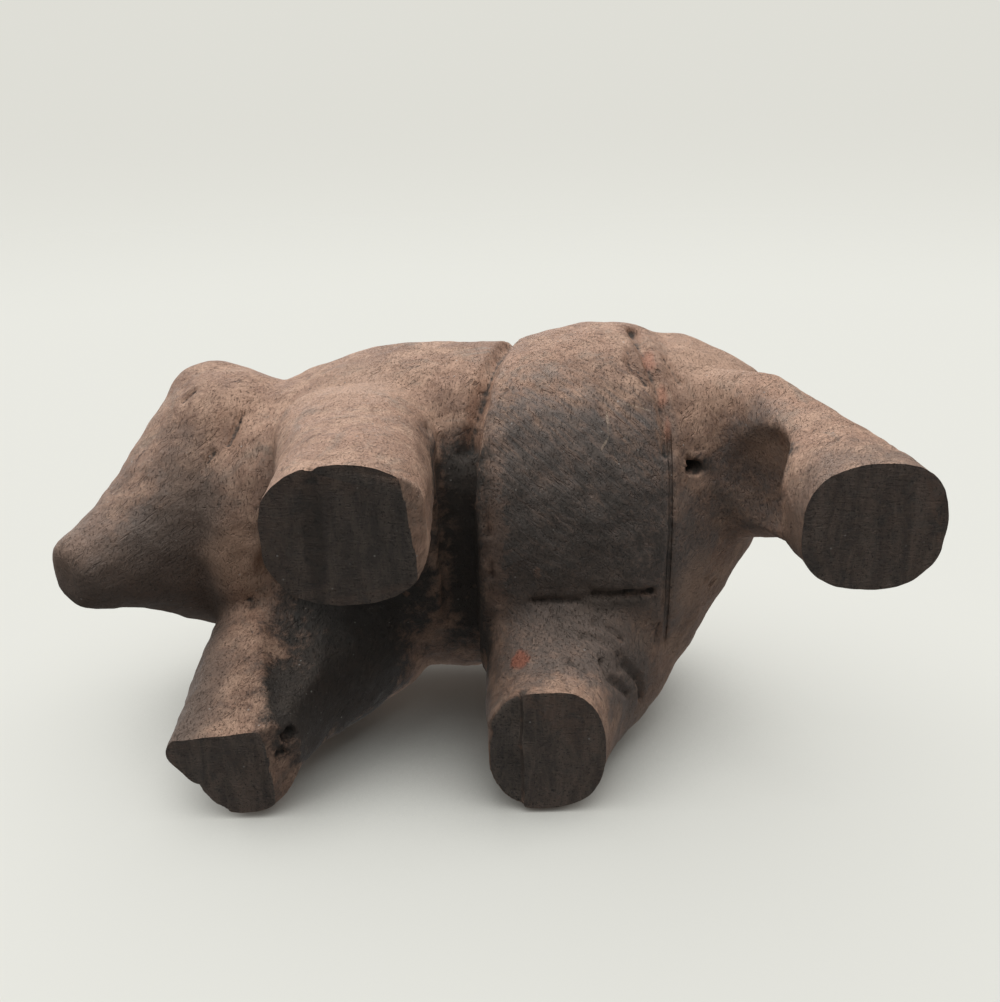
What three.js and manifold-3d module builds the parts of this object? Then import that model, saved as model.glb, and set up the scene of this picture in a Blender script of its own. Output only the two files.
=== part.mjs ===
// A bear carved with saw and knife from one block of wood, in millimetres.
// It stands on its four soles at z = 0, faces -Y and has its left side at +X.
// The block is divided on flat planes where the carver's cuts divide the bear.
import * as THREE from "three";
import { mergeVertices } from "three/addons/utils/BufferGeometryUtils.js";
import Module from "manifold-3d";

// Colour and surface of the carved wood
const LIT_WOOD = "#8a6350";
const DARK_WOOD = "#4a3a33";
const WOOD_ROUGHNESS = 0.62;
const WOOD_METALNESS = 0;

// How finely the rounded forms are divided
const RING_POINTS = 36;
const STEPS_PER_SPAN = 4;
const EAR_SEGMENTS = 20;
const EAR_RINGS = 12;
const HOLLOW_SEGMENTS = 32;
const HOLLOW_RINGS = 16;
const EYE_SEGMENTS = 12;
const EYE_RINGS = 8;

// Points nearer than this are one point
const SAME_POINT = 1e-4;

// How square a cross-section is: 2 is an ellipse, more is squarer
const TRUNK_SQUARENESS = 2.25;
const LEG_SQUARENESS = 2.5;
const HEAD_SQUARENESS = 2.2;

// The bear's length, from the snout to the left hind foot. Both ends are measured from it.
const BEAR_LENGTH = 147.4;
const SNOUT_SET_BACK = 3.5;
const HIND_HEEL_SET_IN = 0.3;

// Forequarters: breast, shoulders and the waist behind them
const BREAST_FRONT_Y = -48.5;
const BREAST_FRONT_HALF_WIDTH = 10;
const BREAST_FRONT_BOTTOM = 34;
const BREAST_FRONT_TOP = 54;
const BREAST_Y = -45;
const BREAST_HALF_WIDTH = 19.5;
const BREAST_BOTTOM = 29.5;
const BREAST_TOP = 68;
const NECK_Y = -35;
const NECK_HALF_WIDTH = 25.5;
const NECK_BOTTOM = 28.5;
const NECK_TOP = 76;
const SHOULDER_Y = -16;
const SHOULDER_HALF_WIDTH = 31.6;
const SHOULDER_BOTTOM = 28;
const SHOULDER_TOP = 81;
const WAIST_Y = 2;
const WAIST_HALF_WIDTH = 32.8;
const WAIST_BOTTOM = 29;
const WAIST_TOP = 76.5;
const FOREQUARTERS_END_Y = 17;

// Belly: the barrel that stands proud of the shoulders, its front edge leaning back
const BELLY_EDGE_Y = 8.2;
const BELLY_EDGE_LEAN = 0.25;
const BELLY_EDGE_HALF_WIDTH = 33;
const BELLY_EDGE_BOTTOM = 21.5;
const BELLY_EDGE_TOP = 76;
const BELLY_ROUND = 3.5;
const BELLY_Y = 24;
const BELLY_HALF_WIDTH = 37;
const BELLY_BOTTOM = 19.5;
const BELLY_TOP = 79;
const BELLY_END_Y = 35;
const BELLY_END_HALF_WIDTH = 35.4;
const BELLY_END_BOTTOM = 22;
const BELLY_END_TOP = 77.5;
const BELLY_FADE_Y = 43;
const BELLY_FADE_IN = 7;

// Hindquarters: croup, hips and rump
const CROUP_Y = 31;
const CROUP_HALF_WIDTH = 33.2;
const CROUP_BOTTOM = 25;
const CROUP_TOP = 77;
const HIP_X = 2.5;
const HIP_Y = 40.5;
const HIP_HALF_WIDTH = 31.8;
const HIP_BOTTOM = 26.5;
const HIP_TOP = 75.5;
const RUMP_X = 7;
const RUMP_Y = 49;
const RUMP_HALF_WIDTH = 24;
const RUMP_BOTTOM = 33;
const RUMP_TOP = 70;
const RUMP_END_X = 12.5;
const RUMP_END_Y = 56;
const RUMP_END_HALF_WIDTH = 14.5;
const RUMP_END_BOTTOM = 38;
const RUMP_END_TOP = 60;
const RUMP_TIP_Y = 58.5;
const RUMP_TIP_SHARE = 0.45;

// Head: hangs forward and down from the shoulders, wide at the ears, narrow at the muzzle
const HEAD_DROOP = 50;
const SNOUT_X = 1;
const SNOUT_Y = SNOUT_SET_BACK - BEAR_LENGTH / 2;
const SNOUT_Z = 25;
const SNOUT_ROUND = 2;
const SNOUT_TIP_HALF_WIDTH = 4.2;
const SNOUT_TIP_HALF_DEPTH = 4.2;
const SNOUT_HALF_WIDTH = 6.6;
const SNOUT_HALF_DEPTH = 6.8;
const MUZZLE_REACH = 12;
const MUZZLE_HALF_WIDTH = 10.8;
const MUZZLE_HALF_DEPTH = 9.8;
const CHEEK_REACH = 24;
const CHEEK_HALF_WIDTH = 19.4;
const CHEEK_HALF_DEPTH = 14.5;
const BROW_REACH = 35;
const BROW_HALF_WIDTH = 26.8;
const BROW_HALF_DEPTH = 18.5;
const POLL_REACH = 47;
const POLL_HALF_WIDTH = 25.5;
const POLL_HALF_DEPTH = 19;
const HEAD_END_REACH = 60;
const HEAD_END_HALF_WIDTH = 15;
const HEAD_END_HALF_DEPTH = 9;

// Ears: low rounded lobes on the upper corners of the head
const EAR_REACH = 41;
const EAR_APART = 37.6;
const EAR_LIFT = 6.5;
const EAR_HALF_WIDTH = 8.8;
const EAR_HALF_DEPTH = 9.5;
const EAR_HALF_HEIGHT = 8.6;
const EAR_HOLLOW_REACH = 40.5;
const EAR_HOLLOW_LIFT = 17.5;
const EAR_HOLLOW_APART = 40.8;
const EAR_HOLLOW_RADIUS = 5.2;

// Eyes: small drilled hollows on the upper side of the head
const EYE_REACH = 24;
const EYE_LIFT = 13.4;
const EYE_APART = 15;
const EYE_RADIUS = 1.5;

// Left foreleg, from the sole up
const FORE_LEFT_SOLE_X = 21.4;
const FORE_LEFT_SOLE_Y = -16.8;
const FORE_LEFT_SOLE_HALF_WIDTH = 11.8;
const FORE_LEFT_SOLE_HALF_LENGTH = 12.8;
const FORE_LEFT_SHIN_X = 20.8;
const FORE_LEFT_SHIN_Y = -16.8;
const FORE_LEFT_SHIN_HALF_WIDTH = 12.2;
const FORE_LEFT_SHIN_HALF_LENGTH = 12.6;
const FORE_LEFT_ELBOW_X = 19.3;
const FORE_LEFT_ELBOW_Y = -18;
const FORE_LEFT_ELBOW_HALF_WIDTH = 12.6;
const FORE_LEFT_ELBOW_HALF_LENGTH = 13.6;
const FORE_LEFT_ROOT_X = 17.5;
const FORE_LEFT_ROOT_Y = -18.5;
const FORE_LEFT_ROOT_HALF_WIDTH = 12.6;
const FORE_LEFT_ROOT_HALF_LENGTH = 14.5;

// The heel of the left forefoot is pared: a point on the flat and the way it faces
const FORE_LEFT_HEEL_X = 24;
const FORE_LEFT_HEEL_Y = -7.2;
const FORE_LEFT_HEEL_FACING = [0.08, 0.7, -0.71];

// Right foreleg, a stride ahead of the left
const FORE_RIGHT_SOLE_X = -21.6;
const FORE_RIGHT_SOLE_Y = -39.2;
const FORE_RIGHT_SOLE_HALF_WIDTH = 9.1;
const FORE_RIGHT_SOLE_HALF_LENGTH = 10.4;
const FORE_RIGHT_SHIN_X = -20.5;
const FORE_RIGHT_SHIN_Y = -37;
const FORE_RIGHT_SHIN_HALF_WIDTH = 9.8;
const FORE_RIGHT_SHIN_HALF_LENGTH = 12.3;
const FORE_RIGHT_ELBOW_X = -19.5;
const FORE_RIGHT_ELBOW_Y = -31;
const FORE_RIGHT_ELBOW_HALF_WIDTH = 12;
const FORE_RIGHT_ELBOW_HALF_LENGTH = 18;
const FORE_RIGHT_ROOT_X = -19;
const FORE_RIGHT_ROOT_Y = -26;
const FORE_RIGHT_ROOT_HALF_WIDTH = 14;
const FORE_RIGHT_ROOT_HALF_LENGTH = 20;

// The flat pared off the outer front corner of the right forefoot
const PARED_TURN = 53.5;
const PARED_FROM_MIDDLE = 50.8;

// Flats pared on the inner side and on the heel of the right forefoot
const FORE_RIGHT_INNER_X = -14.2;
const FORE_RIGHT_INNER_Y = -34;
const FORE_RIGHT_INNER_FACING = [0.964, -0.09, -0.25];
const FORE_RIGHT_HEEL_X = -20;
const FORE_RIGHT_HEEL_Y = -33;
const FORE_RIGHT_HEEL_FACING = [0.05, 0.6, -0.8];

// The hollow behind the right forefoot's inner edge, at four heights
const HEEL_HOLLOW_LOW_X = -8.3;
const HEEL_HOLLOW_LOW_Y = -24.3;
const HEEL_HOLLOW_LOW_Z = -8;
const HEEL_HOLLOW_MIDDLE_X = -4.4;
const HEEL_HOLLOW_MIDDLE_Y = -28.4;
const HEEL_HOLLOW_MIDDLE_Z = 10.4;
const HEEL_HOLLOW_TOP_X = -1.5;
const HEEL_HOLLOW_TOP_Y = -31.4;
const HEEL_HOLLOW_TOP_Z = 25;
const HEEL_HOLLOW_HALF_WIDTH = 9.5;
const HEEL_HOLLOW_HALF_LENGTH = 8.5;
const HEEL_HOLLOW_TOP_SHARE = 0.9;
const HEEL_HOLLOW_END_X = 0.5;
const HEEL_HOLLOW_END_Y = -33;
const HEEL_HOLLOW_END_Z = 31;
const HEEL_HOLLOW_END_SHARE = 0.4;
const HEEL_HOLLOW_SQUARENESS = 2;

// Left hind leg, stretched out behind
const HIND_LEFT_SOLE_X = 21;
const HIND_LEFT_SOLE_HALF_WIDTH = 10.6;
const HIND_LEFT_SOLE_HALF_LENGTH = 10.9;
const HIND_LEFT_SOLE_Y = BEAR_LENGTH / 2 - HIND_HEEL_SET_IN - HIND_LEFT_SOLE_HALF_LENGTH;
const HIND_LEFT_SHIN_X = 20.2;
const HIND_LEFT_SHIN_Y = 60.8;
const HIND_LEFT_SHIN_HALF_WIDTH = 10.8;
const HIND_LEFT_SHIN_HALF_LENGTH = 10.6;
const HIND_LEFT_HOCK_X = 18.4;
const HIND_LEFT_HOCK_Y = 57.5;
const HIND_LEFT_HOCK_HALF_WIDTH = 12.6;
const HIND_LEFT_HOCK_HALF_LENGTH = 9;
const HIND_LEFT_ROOT_X = 15.5;
const HIND_LEFT_ROOT_Y = 48;
const HIND_LEFT_ROOT_HALF_WIDTH = 16.2;
const HIND_LEFT_ROOT_HALF_LENGTH = 12;

// The gouged hollow under the rump, ahead of the left hind leg
const RUMP_HOLLOW_X = 17;
const RUMP_HOLLOW_Y = 47.5;
const RUMP_HOLLOW_Z = 19;
const RUMP_HOLLOW_HALF_WIDTH = 15.5;
const RUMP_HOLLOW_HALF_LENGTH = 8.2;
const RUMP_HOLLOW_HALF_HEIGHT = 10.2;

// Right hind leg, drawn forward under the belly
const HIND_RIGHT_SOLE_X = -19.2;
const HIND_RIGHT_SOLE_Y = 13.4;
const HIND_RIGHT_SOLE_HALF_WIDTH = 11.9;
const HIND_RIGHT_SOLE_HALF_LENGTH = 9.8;
const HIND_RIGHT_SHIN_X = -19.6;
const HIND_RIGHT_SHIN_Y = 15.5;
const HIND_RIGHT_SHIN_HALF_WIDTH = 12.6;
const HIND_RIGHT_SHIN_HALF_LENGTH = 12;
const HIND_RIGHT_HOCK_X = -18;
const HIND_RIGHT_HOCK_Y = 20.5;
const HIND_RIGHT_HOCK_HALF_WIDTH = 17;
const HIND_RIGHT_HOCK_HALF_LENGTH = 16.5;
const HIND_RIGHT_ROOT_X = -16;
const HIND_RIGHT_ROOT_Y = 25.5;
const HIND_RIGHT_ROOT_HALF_WIDTH = 15;
const HIND_RIGHT_ROOT_HALF_LENGTH = 17;

// The front strip of the right hind sole, sawn a little higher than the rest
const TOE_STRIP_REAR_Y = 9.7;
const TOE_STRIP_LEFT_X = -5;
const TOE_STRIP_RISE = 0.8;

// Heights of a leg's stations above the ground
const SHIN_Z = 12;
const JOINT_Z = 26;
const LEG_ROOT_Z = 42;
const LEG_CROWN_Z = 60;

// A leg closes inside the trunk: its crown's share of the root's place and size
const CROWN_IN = 0.7;
const CROWN_SHARE = 0.3;

// Saw cuts: the wide notch between forelegs and belly, and the thin kerf behind the belly
const NOTCH_FRONT_Y = -4.6;
const NOTCH_REAR_Y = 4.7;
const NOTCH_KNEE_Z = 20;
const NOTCH_TOP_REAR_Y = 2.1;
const NOTCH_TOP_Z = 30.5;
const KERF_WIDTH = 0.8;
const KERF_REAR_Y = 36.2;
const KERF_TOP_Z = 25.5;
const KERF_LEFT_X = 24.5;
const KERF_RIGHT_X = -15;

// The knife's groove round the body at the belly's front edge: its place at mid height, its
// backward lean, its depth, and how far its sides run ahead and behind at the open mouth
const GROOVE_Y = 7.1;
const GROOVE_LEAN = 0.27;
const GROOVE_DEPTH = 2.1;
const GROOVE_AHEAD = 4.4;
const GROOVE_BEHIND = 2;
const GROOVE_MOUTH = 3;

// The shallower crease at the belly's rear edge, on the left flank only
const CREASE_Y = 32;
const CREASE_LEAN = -0.165;
const CREASE_HALF_WIDTH = 35.8;
const CREASE_BOTTOM = 21.6;
const CREASE_TOP = 77.8;
const CREASE_DEPTH = 1.2;
const CREASE_HALF_MOUTH = 2.5;
const CREASE_MOUTH = 2.5;
const CREASE_END_Z = 55;

// Planes that divide the block. The neck's plane leans: it passes under the chin and
// behind the ears.
const NECK_PLANE_CHIN_Y = -50;
const NECK_PLANE_CHIN_Z = 28;
const NECK_PLANE_POLL_Y = -33;
const NECK_PLANE_POLL_Z = 76;
const WAIST_PLANE_Y = 0.5;
const KERF_PLANE_Y = 35.8;
const FORELEG_PLANE_Z = 26;
const HIND_LEG_PLANE_Z = 18;

// Larger than the bear on every side
const BEYOND = 200;

const wasm = await Module();
wasm.setup();

// A solid from a closed geometry.
function solidOf(geometry) {
  const bare = geometry.index ? geometry.toNonIndexed() : geometry.clone();
  bare.deleteAttribute("normal");
  bare.deleteAttribute("uv");
  const merged = mergeVertices(bare, SAME_POINT);
  return new wasm.Manifold(
    new wasm.Mesh({
      numProp: 3,
      vertProperties: merged.attributes.position.array,
      triVerts: new Uint32Array(merged.index.array),
    }),
  );
}

// The geometry of a solid.
function geometryOf(solid) {
  const mesh = solid.getMesh();
  const geometry = new THREE.BufferGeometry();
  geometry.setAttribute("position", new THREE.BufferAttribute(mesh.vertProperties, 3));
  geometry.setIndex(new THREE.BufferAttribute(mesh.triVerts, 1));
  geometry.computeVertexNormals();
  return geometry;
}

// A point's share of the half size on one axis of a rounded, squarish ring.
function rounded(value, squareness) {
  return Math.sign(value) * Math.abs(value) ** (2 / squareness);
}

// A closed skin through rounded cross-sections. A smooth curve runs through their centres and
// another through their half sizes, so a few stations give a flowing form. The ring lies in the
// plane of across and upward, and leans along the third axis by its own share.
function loft(stations, across, upward, forward, squareness) {
  const centres = new THREE.CatmullRomCurve3(stations.map((s) => s.centre));
  const sizes = new THREE.CatmullRomCurve3(
    stations.map((s) => new THREE.Vector3(s.halfAcross, s.halfUpward, s.lean ?? 0)),
  );
  const steps = (stations.length - 1) * STEPS_PER_SPAN;
  const points = [];
  for (let i = 0; i <= steps; i++) {
    const centre = centres.getPoint(i / steps);
    const size = sizes.getPoint(i / steps);
    for (let k = 0; k < RING_POINTS; k++) {
      const angle = (2 * Math.PI * k) / RING_POINTS;
      const a = size.x * rounded(Math.cos(angle), squareness);
      const u = size.y * rounded(Math.sin(angle), squareness);
      points.push(
        centre.clone().addScaledVector(across, a).addScaledVector(upward, u)
          .addScaledVector(forward, u * size.z),
      );
    }
  }
  const first = points.length;
  points.push(centres.getPoint(0), centres.getPoint(1));
  const faces = [];
  for (let i = 0; i < steps; i++) {
    for (let k = 0; k < RING_POINTS; k++) {
      const next = (k + 1) % RING_POINTS;
      const a = i * RING_POINTS + k;
      const b = i * RING_POINTS + next;
      faces.push(a, b, b + RING_POINTS, a, b + RING_POINTS, a + RING_POINTS);
    }
  }
  for (let k = 0; k < RING_POINTS; k++) {
    const next = (k + 1) % RING_POINTS;
    const last = steps * RING_POINTS;
    faces.push(first, next, k, first + 1, last + k, last + next);
  }
  const geometry = new THREE.BufferGeometry().setFromPoints(points);
  geometry.setIndex(faces);
  return solidOf(geometry);
}

// A box between two corners.
function block(low, high) {
  const size = new THREE.Vector3().subVectors(high, low);
  const middle = new THREE.Vector3().addVectors(low, high).divideScalar(2);
  const geometry = new THREE.BoxGeometry(size.x, size.y, size.z);
  return solidOf(geometry.translate(middle.x, middle.y, middle.z));
}

// A ball drawn out to its half sizes along the three axes.
function ball(middle, halfX, halfY, halfZ, segments, rings) {
  const geometry = new THREE.SphereGeometry(1, segments, rings).scale(halfX, halfY, halfZ);
  return solidOf(geometry.translate(middle.x, middle.y, middle.z));
}

// A form with a flat pared on it: what lies beyond the point, the way the flat faces, goes.
function pare(solid, x, y, facing) {
  const inward = new THREE.Vector3(...facing).normalize().negate();
  return solid.trimByPlane(inward.toArray(), inward.dot(new THREE.Vector3(x, y, 0)));
}

const X = new THREE.Vector3(1, 0, 0);
const Y = new THREE.Vector3(0, 1, 0);
const Z = new THREE.Vector3(0, 0, 1);

// One cross-section of the trunk, upright and square to Y, with its middle at x.
function slice(x, y, halfWidth, bottom, top, lean) {
  return {
    centre: new THREE.Vector3(x, y, (bottom + top) / 2),
    halfAcross: halfWidth,
    halfUpward: (top - bottom) / 2,
    lean,
  };
}

// A form of the trunk: its rings run backward along Y.
function trunk(stations) {
  return loft(stations, new THREE.Vector3(-1, 0, 0), Z, Y, TRUNK_SQUARENESS);
}

// A groove round the trunk, as the wood it takes away: a slab less a form with a waist. The
// waist is as deep as the groove, and beyond the groove's mouth the slab has no effect.
function groove(y, lean, halfWidth, bottom, top, depth, mouth, ahead, behind) {
  const ring = (at, out) => slice(0, at, halfWidth + out, bottom - out, top + out, lean);
  const wide = mouth + 2 * (mouth + depth);
  const slab = trunk([ring(y - ahead, mouth), ring(y + behind, mouth)]);
  const waisted = trunk([
    ring(y - 2 * ahead, wide), ring(y - ahead, mouth), ring(y, -depth),
    ring(y + behind, mouth), ring(y + 2 * behind, wide),
  ]);
  return slab.subtract(waisted);
}

function forequarters() {
  return trunk([
    slice(0, BREAST_FRONT_Y, BREAST_FRONT_HALF_WIDTH, BREAST_FRONT_BOTTOM, BREAST_FRONT_TOP),
    slice(0, BREAST_Y, BREAST_HALF_WIDTH, BREAST_BOTTOM, BREAST_TOP),
    slice(0, NECK_Y, NECK_HALF_WIDTH, NECK_BOTTOM, NECK_TOP),
    slice(0, SHOULDER_Y, SHOULDER_HALF_WIDTH, SHOULDER_BOTTOM, SHOULDER_TOP),
    slice(0, WAIST_Y, WAIST_HALF_WIDTH, WAIST_BOTTOM, WAIST_TOP),
    slice(0, FOREQUARTERS_END_Y, WAIST_HALF_WIDTH, WAIST_BOTTOM, WAIST_TOP),
  ]);
}

function belly() {
  const edge = BELLY_EDGE_LEAN;
  return trunk([
    slice(0, BELLY_EDGE_Y, BELLY_EDGE_HALF_WIDTH, BELLY_EDGE_BOTTOM, BELLY_EDGE_TOP, edge),
    slice(0, BELLY_EDGE_Y + BELLY_ROUND, (BELLY_EDGE_HALF_WIDTH + BELLY_HALF_WIDTH) / 2,
      (BELLY_EDGE_BOTTOM + BELLY_BOTTOM) / 2, (BELLY_EDGE_TOP + BELLY_TOP) / 2, edge),
    slice(0, BELLY_Y, BELLY_HALF_WIDTH, BELLY_BOTTOM, BELLY_TOP),
    slice(0, BELLY_END_Y, BELLY_END_HALF_WIDTH, BELLY_END_BOTTOM, BELLY_END_TOP),
    slice(0, BELLY_FADE_Y, BELLY_END_HALF_WIDTH - BELLY_FADE_IN,
      BELLY_END_BOTTOM + BELLY_FADE_IN, BELLY_END_TOP - BELLY_FADE_IN),
  ]);
}

function hindquarters() {
  const middle = (RUMP_END_BOTTOM + RUMP_END_TOP) / 2;
  const deep = (RUMP_END_TOP - RUMP_END_BOTTOM) / 2;
  return trunk([
    slice(0, CROUP_Y, CROUP_HALF_WIDTH, CROUP_BOTTOM, CROUP_TOP),
    slice(HIP_X, HIP_Y, HIP_HALF_WIDTH, HIP_BOTTOM, HIP_TOP),
    slice(RUMP_X, RUMP_Y, RUMP_HALF_WIDTH, RUMP_BOTTOM, RUMP_TOP),
    slice(RUMP_END_X, RUMP_END_Y, RUMP_END_HALF_WIDTH, RUMP_END_BOTTOM, RUMP_END_TOP),
    slice(RUMP_END_X, RUMP_TIP_Y, RUMP_END_HALF_WIDTH * RUMP_TIP_SHARE,
      middle - deep * RUMP_TIP_SHARE, middle + deep * RUMP_TIP_SHARE),
  ]);
}

// The head's own axes: along points from the snout back and up to the poll, and face points
// out of the forehead.
const droop = THREE.MathUtils.degToRad(HEAD_DROOP);
const along = new THREE.Vector3(0, Math.cos(droop), Math.sin(droop));
const face = new THREE.Vector3(0, -Math.sin(droop), Math.cos(droop));
const snout = new THREE.Vector3(SNOUT_X, SNOUT_Y, SNOUT_Z);

// One cross-section of the head, a given way back from the snout.
function headRing(reach, halfWidth, halfDepth) {
  const centre = snout.clone().addScaledVector(along, reach);
  return { centre, halfAcross: halfWidth, halfUpward: halfDepth };
}

function head() {
  return loft(
    [
      headRing(0, SNOUT_TIP_HALF_WIDTH, SNOUT_TIP_HALF_DEPTH),
      headRing(SNOUT_ROUND, SNOUT_HALF_WIDTH, SNOUT_HALF_DEPTH),
      headRing(MUZZLE_REACH, MUZZLE_HALF_WIDTH, MUZZLE_HALF_DEPTH),
      headRing(CHEEK_REACH, CHEEK_HALF_WIDTH, CHEEK_HALF_DEPTH),
      headRing(BROW_REACH, BROW_HALF_WIDTH, BROW_HALF_DEPTH),
      headRing(POLL_REACH, POLL_HALF_WIDTH, POLL_HALF_DEPTH),
      headRing(HEAD_END_REACH, HEAD_END_HALF_WIDTH, HEAD_END_HALF_DEPTH),
    ],
    new THREE.Vector3(-1, 0, 0), face, along, HEAD_SQUARENESS,
  );
}

// One ear, on side +1 for the left and -1 for the right.
function ear(side) {
  const place = snout.clone().addScaledVector(along, EAR_REACH).addScaledVector(face, EAR_LIFT)
    .addScaledVector(X, (side * EAR_APART) / 2);
  return ball(place, EAR_HALF_WIDTH, EAR_HALF_DEPTH, EAR_HALF_HEIGHT, EAR_SEGMENTS, EAR_RINGS);
}

// A round hollow in the head, on the same sides as the ears.
function headHollow(side, reach, lift, apart, radius, segments, rings) {
  const place = snout.clone().addScaledVector(along, reach).addScaledVector(face, lift)
    .addScaledVector(X, (side * apart) / 2);
  return ball(place, radius, radius, radius, segments, rings);
}

// One level cross-section of a leg.
function tread(x, y, z, halfWidth, halfLength) {
  return { centre: new THREE.Vector3(x, y, z), halfAcross: halfWidth, halfUpward: halfLength };
}

// A leg: its rings lie level, from the sole up to its root, and it closes inside the trunk.
function leg(stations) {
  const root = stations[stations.length - 1];
  const crown = tread(root.centre.x * CROWN_IN, root.centre.y, LEG_CROWN_Z,
    root.halfAcross * CROWN_SHARE, root.halfUpward * CROWN_SHARE);
  return loft([...stations, crown], X, Y, Z, LEG_SQUARENESS);
}

function foreLegLeft() {
  const post = leg([
    tread(FORE_LEFT_SOLE_X, FORE_LEFT_SOLE_Y, 0,
      FORE_LEFT_SOLE_HALF_WIDTH, FORE_LEFT_SOLE_HALF_LENGTH),
    tread(FORE_LEFT_SHIN_X, FORE_LEFT_SHIN_Y, SHIN_Z,
      FORE_LEFT_SHIN_HALF_WIDTH, FORE_LEFT_SHIN_HALF_LENGTH),
    tread(FORE_LEFT_ELBOW_X, FORE_LEFT_ELBOW_Y, JOINT_Z,
      FORE_LEFT_ELBOW_HALF_WIDTH, FORE_LEFT_ELBOW_HALF_LENGTH),
    tread(FORE_LEFT_ROOT_X, FORE_LEFT_ROOT_Y, LEG_ROOT_Z,
      FORE_LEFT_ROOT_HALF_WIDTH, FORE_LEFT_ROOT_HALF_LENGTH),
  ]);
  return pare(post, FORE_LEFT_HEEL_X, FORE_LEFT_HEEL_Y, FORE_LEFT_HEEL_FACING);
}

function foreLegRight() {
  const turn = THREE.MathUtils.degToRad(PARED_TURN);
  const post = leg([
    tread(FORE_RIGHT_SOLE_X, FORE_RIGHT_SOLE_Y, 0,
      FORE_RIGHT_SOLE_HALF_WIDTH, FORE_RIGHT_SOLE_HALF_LENGTH),
    tread(FORE_RIGHT_SHIN_X, FORE_RIGHT_SHIN_Y, SHIN_Z,
      FORE_RIGHT_SHIN_HALF_WIDTH, FORE_RIGHT_SHIN_HALF_LENGTH),
    tread(FORE_RIGHT_ELBOW_X, FORE_RIGHT_ELBOW_Y, JOINT_Z,
      FORE_RIGHT_ELBOW_HALF_WIDTH, FORE_RIGHT_ELBOW_HALF_LENGTH),
    tread(FORE_RIGHT_ROOT_X, FORE_RIGHT_ROOT_Y, LEG_ROOT_Z,
      FORE_RIGHT_ROOT_HALF_WIDTH, FORE_RIGHT_ROOT_HALF_LENGTH),
  ]).trimByPlane([Math.cos(turn), Math.sin(turn), 0], -PARED_FROM_MIDDLE);
  const inner = pare(post, FORE_RIGHT_INNER_X, FORE_RIGHT_INNER_Y, FORE_RIGHT_INNER_FACING);
  return pare(inner, FORE_RIGHT_HEEL_X, FORE_RIGHT_HEEL_Y, FORE_RIGHT_HEEL_FACING);
}

function hindLegLeft() {
  return leg([
    tread(HIND_LEFT_SOLE_X, HIND_LEFT_SOLE_Y, 0,
      HIND_LEFT_SOLE_HALF_WIDTH, HIND_LEFT_SOLE_HALF_LENGTH),
    tread(HIND_LEFT_SHIN_X, HIND_LEFT_SHIN_Y, SHIN_Z,
      HIND_LEFT_SHIN_HALF_WIDTH, HIND_LEFT_SHIN_HALF_LENGTH),
    tread(HIND_LEFT_HOCK_X, HIND_LEFT_HOCK_Y, JOINT_Z,
      HIND_LEFT_HOCK_HALF_WIDTH, HIND_LEFT_HOCK_HALF_LENGTH),
    tread(HIND_LEFT_ROOT_X, HIND_LEFT_ROOT_Y, LEG_ROOT_Z,
      HIND_LEFT_ROOT_HALF_WIDTH, HIND_LEFT_ROOT_HALF_LENGTH),
  ]);
}

function hindLegRight() {
  return leg([
    tread(HIND_RIGHT_SOLE_X, HIND_RIGHT_SOLE_Y, 0,
      HIND_RIGHT_SOLE_HALF_WIDTH, HIND_RIGHT_SOLE_HALF_LENGTH),
    tread(HIND_RIGHT_SHIN_X, HIND_RIGHT_SHIN_Y, SHIN_Z,
      HIND_RIGHT_SHIN_HALF_WIDTH, HIND_RIGHT_SHIN_HALF_LENGTH),
    tread(HIND_RIGHT_HOCK_X, HIND_RIGHT_HOCK_Y, JOINT_Z,
      HIND_RIGHT_HOCK_HALF_WIDTH, HIND_RIGHT_HOCK_HALF_LENGTH),
    tread(HIND_RIGHT_ROOT_X, HIND_RIGHT_ROOT_Y, LEG_ROOT_Z,
      HIND_RIGHT_ROOT_HALF_WIDTH, HIND_RIGHT_ROOT_HALF_LENGTH),
  ]);
}

// The saw cuts, as the wood they take away. The notch's rear wall slopes above its knee.
const corner = (x, y, z) => new THREE.Vector3(x, y, z);
const notchSection = new THREE.Shape([
  new THREE.Vector2(NOTCH_FRONT_Y, -BEYOND),
  new THREE.Vector2(NOTCH_REAR_Y, -BEYOND),
  new THREE.Vector2(NOTCH_REAR_Y, NOTCH_KNEE_Z),
  new THREE.Vector2(NOTCH_TOP_REAR_Y, NOTCH_TOP_Z),
  new THREE.Vector2(NOTCH_FRONT_Y, NOTCH_TOP_Z),
]);
const acrossBear = new THREE.Matrix4().makeBasis(Y, Z, X).setPosition(-BEYOND / 2, 0, 0);
const notch = solidOf(
  new THREE.ExtrudeGeometry(notchSection, { depth: BEYOND, bevelEnabled: false })
    .applyMatrix4(acrossBear));
const kerf = block(
  corner(KERF_RIGHT_X, KERF_REAR_Y - KERF_WIDTH, -BEYOND),
  corner(KERF_LEFT_X, KERF_REAR_Y, KERF_TOP_Z));
const toeStrip = block(
  corner(-BEYOND, NOTCH_FRONT_Y, -BEYOND),
  corner(TOE_STRIP_LEFT_X, TOE_STRIP_REAR_Y, TOE_STRIP_RISE));

// The knife's groove and crease
const frontGroove = groove(GROOVE_Y, GROOVE_LEAN, WAIST_HALF_WIDTH, WAIST_BOTTOM, WAIST_TOP,
  GROOVE_DEPTH, GROOVE_MOUTH, GROOVE_AHEAD, GROOVE_BEHIND);
const rearCrease = groove(CREASE_Y, CREASE_LEAN, CREASE_HALF_WIDTH, CREASE_BOTTOM, CREASE_TOP,
  CREASE_DEPTH, CREASE_MOUTH, CREASE_HALF_MOUTH, CREASE_HALF_MOUTH)
  .intersect(block(corner(0, -BEYOND, -BEYOND), corner(BEYOND, BEYOND, CREASE_END_Z)));

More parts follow.
